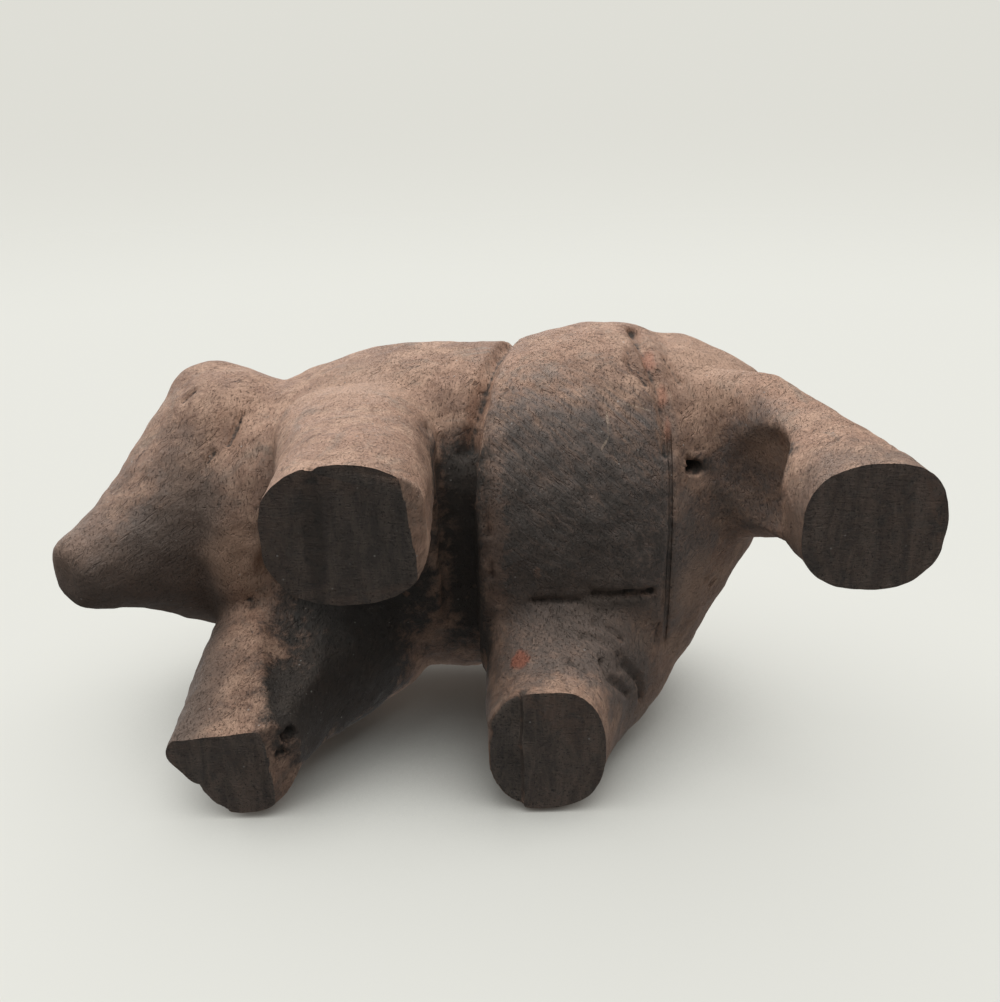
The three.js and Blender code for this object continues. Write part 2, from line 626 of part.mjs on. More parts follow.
// The gouge's hollows
const rumpHollow = ball(corner(RUMP_HOLLOW_X, RUMP_HOLLOW_Y, RUMP_HOLLOW_Z),
  RUMP_HOLLOW_HALF_WIDTH, RUMP_HOLLOW_HALF_LENGTH, RUMP_HOLLOW_HALF_HEIGHT,
  HOLLOW_SEGMENTS, HOLLOW_RINGS);
const heelHollow = loft([
  tread(HEEL_HOLLOW_LOW_X, HEEL_HOLLOW_LOW_Y, HEEL_HOLLOW_LOW_Z,
    HEEL_HOLLOW_HALF_WIDTH, HEEL_HOLLOW_HALF_LENGTH),
  tread(HEEL_HOLLOW_MIDDLE_X, HEEL_HOLLOW_MIDDLE_Y, HEEL_HOLLOW_MIDDLE_Z,
    HEEL_HOLLOW_HALF_WIDTH, HEEL_HOLLOW_HALF_LENGTH),
  tread(HEEL_HOLLOW_TOP_X, HEEL_HOLLOW_TOP_Y, HEEL_HOLLOW_TOP_Z,
    HEEL_HOLLOW_HALF_WIDTH * HEEL_HOLLOW_TOP_SHARE,
    HEEL_HOLLOW_HALF_LENGTH * HEEL_HOLLOW_TOP_SHARE),
  tread(HEEL_HOLLOW_END_X, HEEL_HOLLOW_END_Y, HEEL_HOLLOW_END_Z,
    HEEL_HOLLOW_HALF_WIDTH * HEEL_HOLLOW_END_SHARE,
    HEEL_HOLLOW_HALF_LENGTH * HEEL_HOLLOW_END_SHARE),
], X, Y, Z, HEEL_HOLLOW_SQUARENESS);
const headHollows = [1, -1].flatMap((side) => [
  headHollow(side, EAR_HOLLOW_REACH, EAR_HOLLOW_LIFT, EAR_HOLLOW_APART, EAR_HOLLOW_RADIUS,
    EAR_SEGMENTS, EAR_RINGS),
  headHollow(side, EYE_REACH, EYE_LIFT, EYE_APART, EYE_RADIUS, EYE_SEGMENTS, EYE_RINGS),
]);

// The whole bear: its forms joined, and the cuts taken away
const forms = [
  forequarters(), belly(), hindquarters(), head(), ear(1), ear(-1),
  foreLegLeft(), foreLegRight(), hindLegLeft(), hindLegRight(),
].reduce((joined, form) => joined.add(form));
const whole = [
  notch, kerf, toeStrip, frontGroove, rearCrease, rumpHollow, heelHollow, ...headHollows,
].reduce((left, cut) => left.subtract(cut), forms);

// The two sides of a solid cut by a plane, the side that the plane's normal points to first.
function split(solid, normal, point) {
  return solid.splitByPlane(normal.toArray(), normal.dot(point));
}

// The largest body of a solid, without the crumbs that meeting surfaces can leave.
function mainBody(solid) {
  return solid.decompose().reduce((a, b) => (b.volume() > a.volume() ? b : a));
}

// The bear divided on its planes
const chin = corner(0, NECK_PLANE_CHIN_Y, NECK_PLANE_CHIN_Z);
const poll = corner(0, NECK_PLANE_POLL_Y, NECK_PLANE_POLL_Z);
const neckNormal = poll.clone().sub(chin).cross(X).normalize();
const regions = {};
const [trunkAndLegs, headPart] = split(whole, neckNormal, chin);
const [rear, front] = split(trunkAndLegs, Y, corner(0, WAIST_PLANE_Y, 0));
const [frontTop, foreLegs] = split(front, Z, corner(0, 0, FORELEG_PLANE_Z));
const [rearTop, hindLegs] = split(rear, Z, corner(0, 0, HIND_LEG_PLANE_Z));
regions.head = headPart;
regions.forequarters = frontTop;
[regions.hindquarters, regions.belly] = split(rearTop, Y, corner(0, KERF_PLANE_Y, 0));
[regions.fore_leg_left, regions.fore_leg_right] = split(foreLegs, X, corner(0, 0, 0));
[regions.hind_leg_left, regions.hind_leg_right] = split(hindLegs, X, corner(0, 0, 0));

const finishes = {
  head: LIT_WOOD,
  forequarters: LIT_WOOD,
  belly: DARK_WOOD,
  hindquarters: LIT_WOOD,
  fore_leg_left: LIT_WOOD,
  fore_leg_right: LIT_WOOD,
  hind_leg_left: LIT_WOOD,
  hind_leg_right: LIT_WOOD,
};

const bear = new THREE.Group();
for (const [name, colour] of Object.entries(finishes)) {
  const material = new THREE.MeshStandardMaterial({
    color: colour,
    roughness: WOOD_ROUGHNESS,
    metalness: WOOD_METALNESS,
  });
  const mesh = new THREE.Mesh(geometryOf(mainBody(regions[name])), material);
  mesh.name = name;
  bear.add(mesh);
}

export default bear;
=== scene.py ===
# %% [markdown]
# # A carved wooden bear
# The bear is one block of wood, roughed out with a saw, rounded with a knife and
# darkened with age and soot. It stands on four sawn soles. The photograph shows it lying on
# its right side, seen from below, so the camera looks up at the belly.
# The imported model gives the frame: millimetre-true solids that this script dresses.

# %% The frame
import math
import random

import bpy
from mathutils import Matrix, Vector


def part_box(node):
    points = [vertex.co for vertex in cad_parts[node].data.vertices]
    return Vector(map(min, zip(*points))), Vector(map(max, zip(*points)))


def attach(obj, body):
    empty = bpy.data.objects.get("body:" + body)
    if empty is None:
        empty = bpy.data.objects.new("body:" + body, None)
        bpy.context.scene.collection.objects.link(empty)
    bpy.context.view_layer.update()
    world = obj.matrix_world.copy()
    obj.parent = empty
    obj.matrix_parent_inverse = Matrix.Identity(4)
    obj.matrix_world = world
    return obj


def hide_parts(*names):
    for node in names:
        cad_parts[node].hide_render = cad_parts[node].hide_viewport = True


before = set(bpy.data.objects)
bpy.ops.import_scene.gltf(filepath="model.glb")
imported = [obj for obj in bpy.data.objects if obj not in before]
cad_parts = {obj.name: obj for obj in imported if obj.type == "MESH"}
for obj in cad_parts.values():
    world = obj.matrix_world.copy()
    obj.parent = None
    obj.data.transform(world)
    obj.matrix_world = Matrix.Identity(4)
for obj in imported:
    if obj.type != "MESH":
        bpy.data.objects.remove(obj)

bpy.ops.object.select_all(action="DESELECT")
MM = 0.001
X_AXIS, Y_AXIS, Z_AXIS = Vector((1, 0, 0)), Vector((0, 1, 0)), Vector((0, 0, 1))
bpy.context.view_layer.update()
print("solids:", sorted(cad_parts))

# %% [markdown]
# ## The camera
# The photograph was taken from close by, so the near soles look large. The sight line rises
# 26 degrees out of the bear's upright and passes through a point beside the belly. The lens
# follows from the focal length in pixels and the height of the picture.

# %% Camera
FOCAL_PIXELS = 1150
PICTURE_HEIGHT = 1002
SENSOR = 36
AIM = Vector((9.8, 6.6, 35)) * MM
CAMERA_AWAY = 208 * MM
LEAN_DEGREES = 26
ROLL_DEGREES = -1.2

lean, roll = math.radians(LEAN_DEGREES), math.radians(ROLL_DEGREES)
sight = Vector((-math.sin(lean), 0, math.cos(lean)))
level_up = Vector((math.cos(lean), 0, math.sin(lean)))
right = Y_AXIS * math.cos(roll) + level_up * math.sin(roll)
up = level_up * math.cos(roll) - Y_AXIS * math.sin(roll)

bpy.ops.object.camera_add()
camera = bpy.context.object
camera.matrix_world = Matrix((right, up, -sight)).transposed().to_4x4()
camera.location = AIM - sight * CAMERA_AWAY
camera.data.sensor_width = SENSOR
camera.data.lens = SENSOR * FOCAL_PIXELS / PICTURE_HEIGHT
camera.data.clip_start = 0.005
bpy.context.scene.camera = camera
print("camera at", [round(v / MM) for v in camera.location], "lens", round(camera.data.lens, 1))

# %% [markdown]
# ## Growing a form from rings
# Trunk, head and legs are all rounded bars whose section changes along their length. By
# hand, each would be a disc that is extruded again and again, and resized after each step.
# Few rings are given, and a smooth curve through them gives the ones between.

# %% Rings
RING_POINTS = 40
STEPS_PER_SPAN = 4


def flow(rings):
    """The given rings with smoothly curved ones between them."""
    rows = [rings[0]] + list(rings) + [rings[-1]]
    out = []
    for a, b, c, d in zip(rows, rows[1:], rows[2:], rows[3:]):
        for step in range(STEPS_PER_SPAN):
            t = step / STEPS_PER_SPAN
            out.append([
                0.5 * (2 * q + (r - p) * t + (2 * p - 5 * q + 4 * r - s) * t * t
                       + (3 * q - p - 3 * r + s) * t ** 3)
                for p, q, r, s in zip(a, b, c, d)
            ])
    return out + [list(rings[-1])]


def grow(name, rings, across, upward, along, squareness):
    """A closed bar through rings of (along, across, upward, half across, half upward), in mm."""
    rings = flow(rings)
    w, u, v, half_u, half_v = rings[0]
    bpy.ops.mesh.primitive_circle_add(vertices=RING_POINTS, radius=1, fill_type="NGON")
    bar = bpy.context.object
    bar.name = name
    for vertex in bar.data.vertices:
        for axis in (0, 1):
            side = vertex.co[axis]
            vertex.co[axis] = math.copysign(abs(side) ** (2 / squareness), side)
    bpy.ops.object.mode_set(mode="EDIT")
    bpy.ops.mesh.select_all(action="SELECT")
    bpy.ops.transform.resize(value=(half_u, half_v, 1), center_override=(0, 0, 0))
    bpy.ops.transform.translate(value=(u, v, w))
    for ring in rings[1:]:
        step = (ring[1] - u, ring[2] - v, ring[0] - w)
        grown = (ring[3] / half_u, ring[4] / half_v, 1)
        w, u, v, half_u, half_v = ring
        bpy.ops.mesh.extrude_region_move(TRANSFORM_OT_translate={"value": step})
        bpy.ops.transform.resize(value=grown, center_override=(u, v, w))
    bpy.ops.mesh.select_all(action="SELECT")
    bpy.ops.mesh.normals_make_consistent(inside=False)
    bpy.ops.object.mode_set(mode="OBJECT")
    bar.matrix_world = Matrix((across, upward, along)).transposed().to_4x4() @ Matrix.Scale(MM, 4)
    bpy.ops.object.transform_apply(location=True, rotation=True, scale=True)
    return bar


# %% [markdown]
# ## The trunk
# Three forms overlap: the forequarters with the shoulder hump, the belly that stands proud
# of them like a barrel, and the hindquarters, whose rump turns towards the left hind leg.
# Their rings stand upright across the bear's length.

# %% Trunk
TRUNK_SQUARENESS = 2.25


def trunk(name, slices):
    """A trunk form from slices of (place along Y, middle in X, half width, bottom, top)."""
    rings = [(y, x, (low + high) / 2, wide, (high - low) / 2) for y, x, wide, low, high in slices]
    return grow(name, rings, X_AXIS, Z_AXIS, Y_AXIS, TRUNK_SQUARENESS)


forms = [
    trunk("forequarters form", [
        (-48.5, 0, 10, 34, 54),
        (-45, 0, 19.5, 29.5, 68),
        (-35, 0, 25.5, 28.5, 76),
        (-16, 0, 31.6, 28, 81),
        (2, 0, 32.8, 29, 76.5),
        (17, 0, 32.8, 29, 76.5),
    ]),
    trunk("belly form", [
        (8.2, 0, 33, 21.5, 76),
        (11.7, 0, 35, 20.5, 77.5),
        (24, 0, 37, 19.5, 79),
        (35, 0, 35.4, 22, 77.5),
        (43, 0, 28.4, 29, 70.5),
    ]),
    trunk("hindquarters form", [
        (31, 0, 33.2, 25, 77),
        (40.5, 2.5, 31.8, 26.5, 75.5),
        (49, 7, 24, 33, 70),
        (56, 12.5, 14.5, 38, 60),
        (58.5, 12.5, 6.5, 44, 54),
    ]),
]
BELLY_EDGE_LEAN, BELLY_EDGE_MIDDLE = 0.25, 48.75
BELLY_EDGE_START, BELLY_EDGE_FADE = 11.7, 12.3
for vertex in forms[1].data.vertices:
    upright = 1 - min(1, max(0, (vertex.co.y / MM - BELLY_EDGE_START) / BELLY_EDGE_FADE))
    vertex.co.y += BELLY_EDGE_LEAN * upright * (vertex.co.z - BELLY_EDGE_MIDDLE * MM)
print("trunk forms:", [len(f.data.polygons) for f in forms], "faces")

# %% [markdown]
# ## The head
# The head hangs forward and down. Its rings stand across its own axis, which droops 50
# degrees below the level. The muzzle is a slim cone that widens quickly to the brow, and
# two low lobes on the upper corners are the ears.

# %% Head
HEAD_SQUARENESS = 2.2
DROOP = math.radians(50)
SNOUT = Vector((1, -70.2, 25))
along_head = Vector((0, math.cos(DROOP), math.sin(DROOP)))
out_of_face = Vector((0, -math.sin(DROOP), math.cos(DROOP)))
snout_across = SNOUT.x
snout_upward = SNOUT.dot(out_of_face)
snout_along = SNOUT.dot(along_head)

head_rings = [
    (reach + snout_along, snout_across, snout_upward, wide, deep)
    for reach, wide, deep in [
        (0, 4.2, 4.2), (2, 6.6, 6.8), (12, 10.8, 9.8), (24, 19.4, 14.5),
        (35, 26.8, 18.5), (47, 25.5, 19), (60, 15, 9),
    ]
]
forms.append(grow("head form", head_rings, X_AXIS, out_of_face, along_head, HEAD_SQUARENESS))

EAR_REACH, EAR_APART, EAR_LIFT = 41, 37.6, 6.5
EAR_HALF_SIZE = (8.8, 9.5, 8.6)
for side in (1, -1):
    place = SNOUT + along_head * EAR_REACH + out_of_face * EAR_LIFT + X_AXIS * side * EAR_APART / 2
    bpy.ops.mesh.primitive_uv_sphere_add(segments=32, ring_count=16, radius=MM, location=place * MM)
    bpy.ops.object.mode_set(mode="EDIT")
    bpy.ops.transform.resize(value=EAR_HALF_SIZE, center_override=place * MM)
    bpy.ops.object.mode_set(mode="OBJECT")
    bpy.ops.object.transform_apply(location=True)
    forms.append(bpy.context.object)
print("head and ears:", [len(f.data.polygons) for f in forms[3:]], "faces")

# %% [markdown]
# ## The legs
# Each leg is a squarish post whose rings lie level. It starts below the ground, so that the
# sole can be sawn flat later, and closes inside the trunk. The right foreleg reaches ahead,
# the left hind leg is stretched out behind, and the right hind leg is drawn under the belly.
# A flat was pared off the outer front corner of the right forefoot.

# %% Legs
LEG_SQUARENESS = 2.5
BELOW_GROUND = -4


def leg(name, treads):
    """A leg from treads of (height, middle in X and Y, half width, half length)."""
    foot, root = treads[0], treads[-1]
    rings = [(BELOW_GROUND,) + foot[1:]] + list(treads)
    rings.append((60, root[1] * 0.7, root[2], root[3] * 0.3, root[4] * 0.3))
    return grow(name, rings, X_AXIS, Y_AXIS, Z_AXIS, LEG_SQUARENESS)


fore_left = leg("left foreleg form", [
    (0, 21.4, -16.8, 11.8, 12.8), (12, 20.8, -16.8, 12.2, 12.6),
    (26, 19.3, -18, 12.6, 13.6), (42, 17.5, -18.5, 12.6, 14.5),
])
fore_right = leg("right foreleg form", [
    (0, -21.6, -39.2, 9.1, 10.4), (12, -20.5, -37, 9.8, 12.3),
    (26, -19.5, -31, 12, 18), (42, -19, -26, 14, 20),
])
hind_left = leg("left hind leg form", [
    (0, 21, 62.5, 10.6, 10.9), (12, 20.2, 60.8, 10.8, 10.6),
    (26, 18.4, 57.5, 12.6, 9), (42, 15.5, 48, 16.2, 12),
])
hind_right = leg("right hind leg form", [
    (0, -19.2, 13.4, 11.9, 9.8), (12, -19.6, 15.5, 12.6, 12),
    (26, -18, 20.5, 17, 16.5), (42, -16, 25.5, 15, 17),
])
forms += [fore_left, fore_right, hind_left, hind_right]


def slice_off(ob, point, outward):
    """Cuts away what lies on the outer side of a plane and closes the cut with one flat face."""
    bpy.ops.object.select_all(action="DESELECT")
    bpy.context.view_layer.objects.active = ob
    ob.select_set(True)
    bpy.ops.object.mode_set(mode="EDIT")
    bpy.ops.mesh.select_all(action="SELECT")
    bpy.ops.mesh.bisect(
        plane_co=point, plane_no=outward, use_fill=True, clear_outer=True, threshold=1e-7)
    bpy.ops.object.mode_set(mode="OBJECT")


PARED_TURN = math.radians(53.5)
PARED_AWAY = 50.8
pared_way = Vector((-math.cos(PARED_TURN), -math.sin(PARED_TURN), 0))
slice_off(fore_right, pared_way * PARED_AWAY * MM, pared_way)
print("legs:", [len(f.data.polygons) for f in forms[-4:]], "faces")

# %% [markdown]
# ## One block
# The forms only overlap so far. A voxel remesh turns them into the one skin of a solid
# block, and a smoothing pass rounds the joins, as the knife did where a leg runs into the
# shoulder.

# %% Join the forms
ROUGH_VOXEL = 0.9 * MM
FINE_VOXEL = 0.5 * MM
ROUNDING_PASSES = 9


def take_up(objects):
    """Selects the objects and makes the first one active."""
    bpy.ops.object.select_all(action="DESELECT")
    for ob in objects:
        ob.select_set(True)
    bpy.context.view_layer.objects.active = objects[0]


def modify(ob, kind, **settings):
    """Adds a modifier with the settings and applies it."""
    take_up([ob])
    modifier = ob.modifiers.new(kind.title(), kind)
    for key, value in settings.items():
        setattr(modifier, key, value)
    bpy.ops.object.modifier_apply(modifier=modifier.name)


take_up(forms)
bpy.ops.object.join()
skin = bpy.context.object
skin.name = "bear skin"
modify(skin, "REMESH", mode="VOXEL", voxel_size=ROUGH_VOXEL, adaptivity=0)
modify(skin, "SMOOTH", factor=0.5, iterations=ROUNDING_PASSES)
print("rough skin:", len(skin.data.polygons), "faces")

# %% [markdown]
# ## Cutters
# Saw, knife and gouge are solids whose shape is taken away from the block. A saw cut is a
# thin slab, and a pared flat is a block laid against it. A knife cut is a three-sided bar
# with one edge pointing into the wood, in short stretches that follow the skin, and its open
# side stands clear of the skin. A torn chip is a stone with a ragged surface. All cutters go
# into one collection, so that one boolean takes them away.

# %% Cutter shapes
cutters = []
CLEAR_OF_SKIN = 2
BAR_TALL, BAR_WIDE = 1.5, 1.155
CHIP_RAGGED = (0.6, 1.25)


def placed(ob, place):
    """Puts a unit-sized object where a matrix in mm says, and keeps it as a cutter."""
    ob.matrix_world = Matrix.Scale(MM, 4) @ place
    bpy.ops.object.transform_apply(location=True, rotation=True, scale=True)
    cutters.append(ob)


def on_skin(point):
    """The nearest point of the skin in mm, and the way into the wood there."""
    found, place, normal, face = skin.closest_point_on_mesh(Vector(point) * MM)
    return place / MM, -normal


def sawn(low, high):
    """A slab between two corners in mm."""
    low, high = Vector(low), Vector(high)
    bpy.ops.mesh.primitive_cube_add(size=1)
    placed(bpy.context.object,
           Matrix.Translation((low + high) / 2) @ Matrix.Diagonal((*(high - low), 1)))


def pared(point, outward, wide, deep=10):
    """A flat through a point, square to outward, with everything beyond it cut away."""
    turn = Vector(outward).to_track_quat("Z", "Y").to_matrix().to_4x4()
    bpy.ops.mesh.primitive_cube_add(size=1, location=(0, 0, 0.5))
    bpy.ops.object.transform_apply(location=True)
    placed(bpy.context.object,
           Matrix.Translation(point) @ turn @ Matrix.Diagonal((wide, wide, deep, 1)))


def knifed(points, width, depth, stretch):
    """A V-shaped cut of a width and depth in mm along a line that is laid onto the skin."""
    line = []
    tall = (depth + CLEAR_OF_SKIN) / BAR_TALL
    lift = depth - tall
    half = width / (BAR_WIDE * (1 + lift / tall))
    for a, b in zip(points, points[1:]):
        a, b = Vector(a), Vector(b)
        steps = max(1, round((b - a).length / stretch))
        line += [on_skin(a.lerp(b, step / steps)) for step in range(steps)]
    line.append(on_skin(points[-1]))
    for (a, into_a), (b, into_b) in zip(line, line[1:]):
        run = (b - a).normalized()
        into = into_a + into_b
        inward = (into - run * into.dot(run)).normalized()
        side = inward.cross(run)
        bpy.ops.mesh.primitive_cylinder_add(vertices=3, radius=1, depth=1)
        rows = (side * half, inward * tall, run * ((b - a).length + width * 0.4))
        placed(bpy.context.object, Matrix.Translation((a + b) / 2 + inward * lift)
               @ Matrix(rows).transposed().to_4x4())


def torn(point, size, seed):
    """A ragged chip at a point, with a half size in mm along each axis."""
    draw = random.Random(seed)
    bpy.ops.mesh.primitive_ico_sphere_add(subdivisions=2, radius=1)
    stone = bpy.context.object
    for vertex in stone.data.vertices:
        vertex.co *= draw.uniform(*CHIP_RAGGED)
    placed(stone, Matrix.Translation(point) @ Matrix.Diagonal((*size, 1)))


def hollowed(middle, half_sizes):
    """A smooth hollow, as a gouge leaves it."""
    bpy.ops.mesh.primitive_uv_sphere_add(segments=48, ring_count=24, radius=1)
    placed(bpy.context.object, Matrix.Translation(middle) @ Matrix.Diagonal((*half_sizes, 1)))


def take_away(voxel):
    """Takes the cutters' shapes away from the skin and remeshes it with a voxel size."""
    tools = bpy.data.collections.new("cutters")
    for tool in cutters:
        tools.objects.link(tool)
    modify(skin, "BOOLEAN", operation="DIFFERENCE", operand_type="COLLECTION",
           collection=tools, solver="EXACT")
    for tool in cutters:
        bpy.data.objects.remove(tool)
    cutters.clear()
    bpy.data.collections.remove(tools)
    modify(skin, "REMESH", mode="VOXEL", voxel_size=voxel, adaptivity=0)


def rubbed(middle, reach, passes):
    """Smooths the skin near a point in mm, where handling has worn an edge away."""
    group = skin.vertex_groups.new(name="rubbed")
    for vertex in skin.data.vertices:
        share = 1 - (vertex.co / MM - Vector(middle)).length / reach
        if share > 0:
            group.add([vertex.index], min(1, share * 3), "REPLACE")
    modify(skin, "SMOOTH", factor=0.5, iterations=passes, vertex_group=group.name)
    skin.vertex_groups.clear()


# %% [markdown]
# ## Hollows
# A gouge took away wood behind the right forefoot's inner edge, and below the rump ahead of
# the left hind leg, so that the foot stands out. Their edges and the root of the left foreleg
# are rubbed smooth. This comes before the saw cuts, whose edges stay crisp.

# %% Gouge
RUMP_HOLLOW = (17, 47.5, 19), (15.5, 8.2, 10.2)
HEEL_HOLLOW = [
    (-8, -8.3, -24.3, 9.5, 8.5), (10.4, -4.4, -28.4, 9.5, 8.5), (25, -1.5, -31.4, 8.5, 7.6),
    (31, 0.5, -33, 3.8, 3.4),
]
RUBBED_PLACES = [((17, 43, 27), 13, 16), ((27, -18, 42), 16, 18), ((14, -34, 34), 11, 12)]
hollowed(*RUMP_HOLLOW)
cutters.append(grow("heel hollow", HEEL_HOLLOW, X_AXIS, Y_AXIS, Z_AXIS, 2))
take_away(ROUGH_VOXEL)
for middle, reach, passes in RUBBED_PLACES:
    rubbed(middle, reach, passes)
print("hollowed skin:", len(skin.data.polygons), "faces")

# %% [markdown]
# ## Saw cuts and flats
# A deep notch divides the forelegs from the belly, and its rear wall slopes. Behind the belly
# the saw left a thin kerf. The front strip of the right hind sole sits a little higher than
# the rest. Flats were pared on the inner side and the heel of the right forefoot, and on the
# heel of the left one.

# %% Saw
NOTCH_FRONT, NOTCH_REAR, NOTCH_SLOPE, NOTCH_TOP = -4.6, 4.7, 2.6, 30.5
KERF_CORNERS = (-15, 35.3, -10), (24.5, 36.3, 25.5)
SOLE_STRIP_CORNERS = (-40, 0, -6), (-5, 9.7, 0.8)
sawn((-60, NOTCH_FRONT, -10), (60, NOTCH_REAR, NOTCH_TOP))
for vertex in cutters[-1].data.vertices:
    if vertex.co.y > 0 and vertex.co.z > 0:
        vertex.co.y -= NOTCH_SLOPE * MM
sawn(*KERF_CORNERS)
sawn(*SOLE_STRIP_CORNERS)
for point, outward, wide in [
    ((-14.2, -34, 0), (0.964, -0.09, -0.25), 50),
    ((-20, -33, 0), (0.05, 0.6, -0.8), 20),
    ((24, -7.2, 0), (0.08, 0.7, -0.71), 30),
]:
    pared(point, outward, wide)
print("saw cuts and flats:", len(cutters))

# %% [markdown]
# ## Eyes and ears
# The face is turned away in the photograph: the small drilled eyes and the hollowed ears are
# the maker's guess.

# %% Face
EYE_REACH, EYE_LIFT, EYE_APART, EYE_SIZE = 24, 20, 15, 1.5
EAR_HOLLOW_REACH, EAR_HOLLOW_LIFT, EAR_HOLLOW_SIDE, EAR_HOLLOW_SIZE = 40.5, 17.5, 20.4, 5.2
for side in (1, -1):
    eye = SNOUT + along_head * EYE_REACH + out_of_face * EYE_LIFT + X_AXIS * side * EYE_APART / 2
    ear = SNOUT + along_head * EAR_HOLLOW_REACH + out_of_face * EAR_HOLLOW_LIFT
    hollowed(on_skin(eye)[0], (EYE_SIZE,) * 3)
    hollowed(ear + X_AXIS * side * EAR_HOLLOW_SIDE, (EAR_HOLLOW_SIZE,) * 3)
print("with eyes and ears:", len(cutters))

# %% [markdown]
# ## Knife cuts
# The knife drew a groove at the foot of the belly's front edge, which climbs the left flank
# and runs over the back. A shallower crease marks the belly's rear edge. A slit runs under
# the belly above the right thigh, and cracks and slips of the knife lie on the thigh, the
# head and beside the creases. A shallow line carries the kerf on to the left.

# %% Knife
FRONT_GROOVE = [
    (34.5, 9.6, 60), (33.9, 7.7, 53), (32.6, 6, 47), (30.3, 4.5, 42.2), (27.6, 3.3, 38.3),
    (24.2, 2.3, 35.4), (20.6, 1.6, 33.3)]
REAR_CREASE = [
    (36, 31.6, 52), (35.4, 32.2, 45), (33.6, 33.4, 38.6), (29.8, 34.8, 33.4), (26, 35.4, 29.8),
    (22, 35.8, 26.8)]
KERF_LINE = [(25, 35.8, 29), (16, 35.8, 25), (6, 35.8, 22.5), (-4, 35.8, 21), (-13, 35.8, 20)]
BACK_GROOVE = [
    (34.5, 9.6, 60), (33, 11, 67), (27, 12.7, 73), (14, 13.8, 77), (0, 14.2, 79), (-14, 13.8, 77),
    (-27, 12.7, 73), (-33.5, 10.2, 64), (-34.6, 7.5, 54), (-33, 5, 45), (-27, 3.4, 38)]
SLIT = [(-1.2, 22.4, 19.6), (-1.4, 27, 19.9), (-2, 33, 21.5)]
THIGH_SLIPS = [
    [(-9.2, 23.2, 11.6), (-11.6, 24.6, 9.4), (-18, 28.4, 13.6)],
    [(-12.1, 27.6, 14.4), (-17, 30.4, 16.8), (-22, 31.4, 17.8)]]
CRACKS = [
    [(35.2, 29.4, 41.6), (34, 30.6, 38), (31.8, 32, 34.4)],
    [(34, 29, 40), (32.4, 30.4, 36)],
    [(33.7, 36.2, 42.6), (32, 37.6, 40), (30.3, 38.8, 37.6)],
    [(-2.6, 11.8, 20.2), (-2.5, 16, 19.8), (-2.4, 20.5, 19.6)],
    [(-7.6, 17.2, 9.2), (-8.8, 20.6, 7.4)],
    [(-6.2, 19.8, 14.8), (-8.3, 24.6, 14.8)],
    [(-5.2, 22, 17.6), (-9, 27.4, 17)],
    [(24.6, -52, 49), (26.4, -49.8, 50.6)],
    [(19.6, -42.4, 39.8), (21.4, -41.2, 42.4), (23.6, -40, 45.4)],
    [(17, -46.2, 38), (18.6, -44.8, 39.8)]]
LONG_STRETCH, SHORT_STRETCH = 4, 2.5
for line, width, depth, stretch in [
    (FRONT_GROOVE, 3.8, 2.5, SHORT_STRETCH),
    (BACK_GROOVE, 3.4, 1.9, LONG_STRETCH),
    (REAR_CREASE, 3.8, 1.7, SHORT_STRETCH),
    (KERF_LINE, 1.5, 0.9, SHORT_STRETCH),
    (SLIT, 2.2, 1.9, SHORT_STRETCH),
    (THIGH_SLIPS[0], 2.2, 1.5, SHORT_STRETCH),
    (THIGH_SLIPS[1], 2.3, 1.6, SHORT_STRETCH),
] + [(crack, 1.6, 1.1, SHORT_STRETCH) for crack in CRACKS]:
    knifed(line, width, depth, stretch)
print("with knife cuts:", len(cutters))

# %% [markdown]
# ## Torn chips
# Wood has torn out where the saw came through: along the notch's upper edge, at the belly's
# corner and on the right forefoot. A knot fell out behind the kerf, and the soles' rims are
# worn.

# %% Chips
CHIPS_ON_THE_SKIN = [
    ((26.5, -4.5, 30.5), (2.2, 1.6, 1.6)), ((23.5, -2.6, 32.6), (2.4, 1.5, 1.6)),
    ((20.4, 0.6, 32.4), (2.0, 1.9, 1.4)), ((21.8, 2.6, 33.8), (1.6, 1.2, 1.2)),
    ((11.5, 4.6, 21.6), (3.4, 0.8, 1.6)), ((3.4, 4.9, 20.6), (3.6, 0.7, 1.5)),
    ((-11.4, 26.4, 14.0), (2.4, 2.0, 1.8)), ((-14.6, 28.8, 14.6), (2.4, 1.8, 1.6)),
    ((-7.8, 10.6, 13.6), (1.1, 1.8, 1.4)), ((-5.6, 17.0, 17.6), (1.4, 3.0, 1.4)),
    ((20.8, 40.6, 31.0), (1.3, 1.3, 1.5)), ((19.8, 38.6, 29.6), (1.2, 1.3, 1.2)),
    ((-3.6, 43.6, 29.6), (1.8, 1.5, 1.3)), ((-6.0, 45.0, 31.6), (1.5, 1.3, 1.2)),
    ((4.2, -43.0, 29.6), (1.6, 0.7, 0.6)), ((15.9, -46.6, 37.7), (1.1, 1.2, 1.1)),
    ((30.2, -22, 26), (1.3, 1.0, 1.7)), ((31.4, 47.2, 36), (1.2, 1.6, 1.2)),
    ((27.4, -52.6, 53), (1.4, 1.0, 1.2)),
]
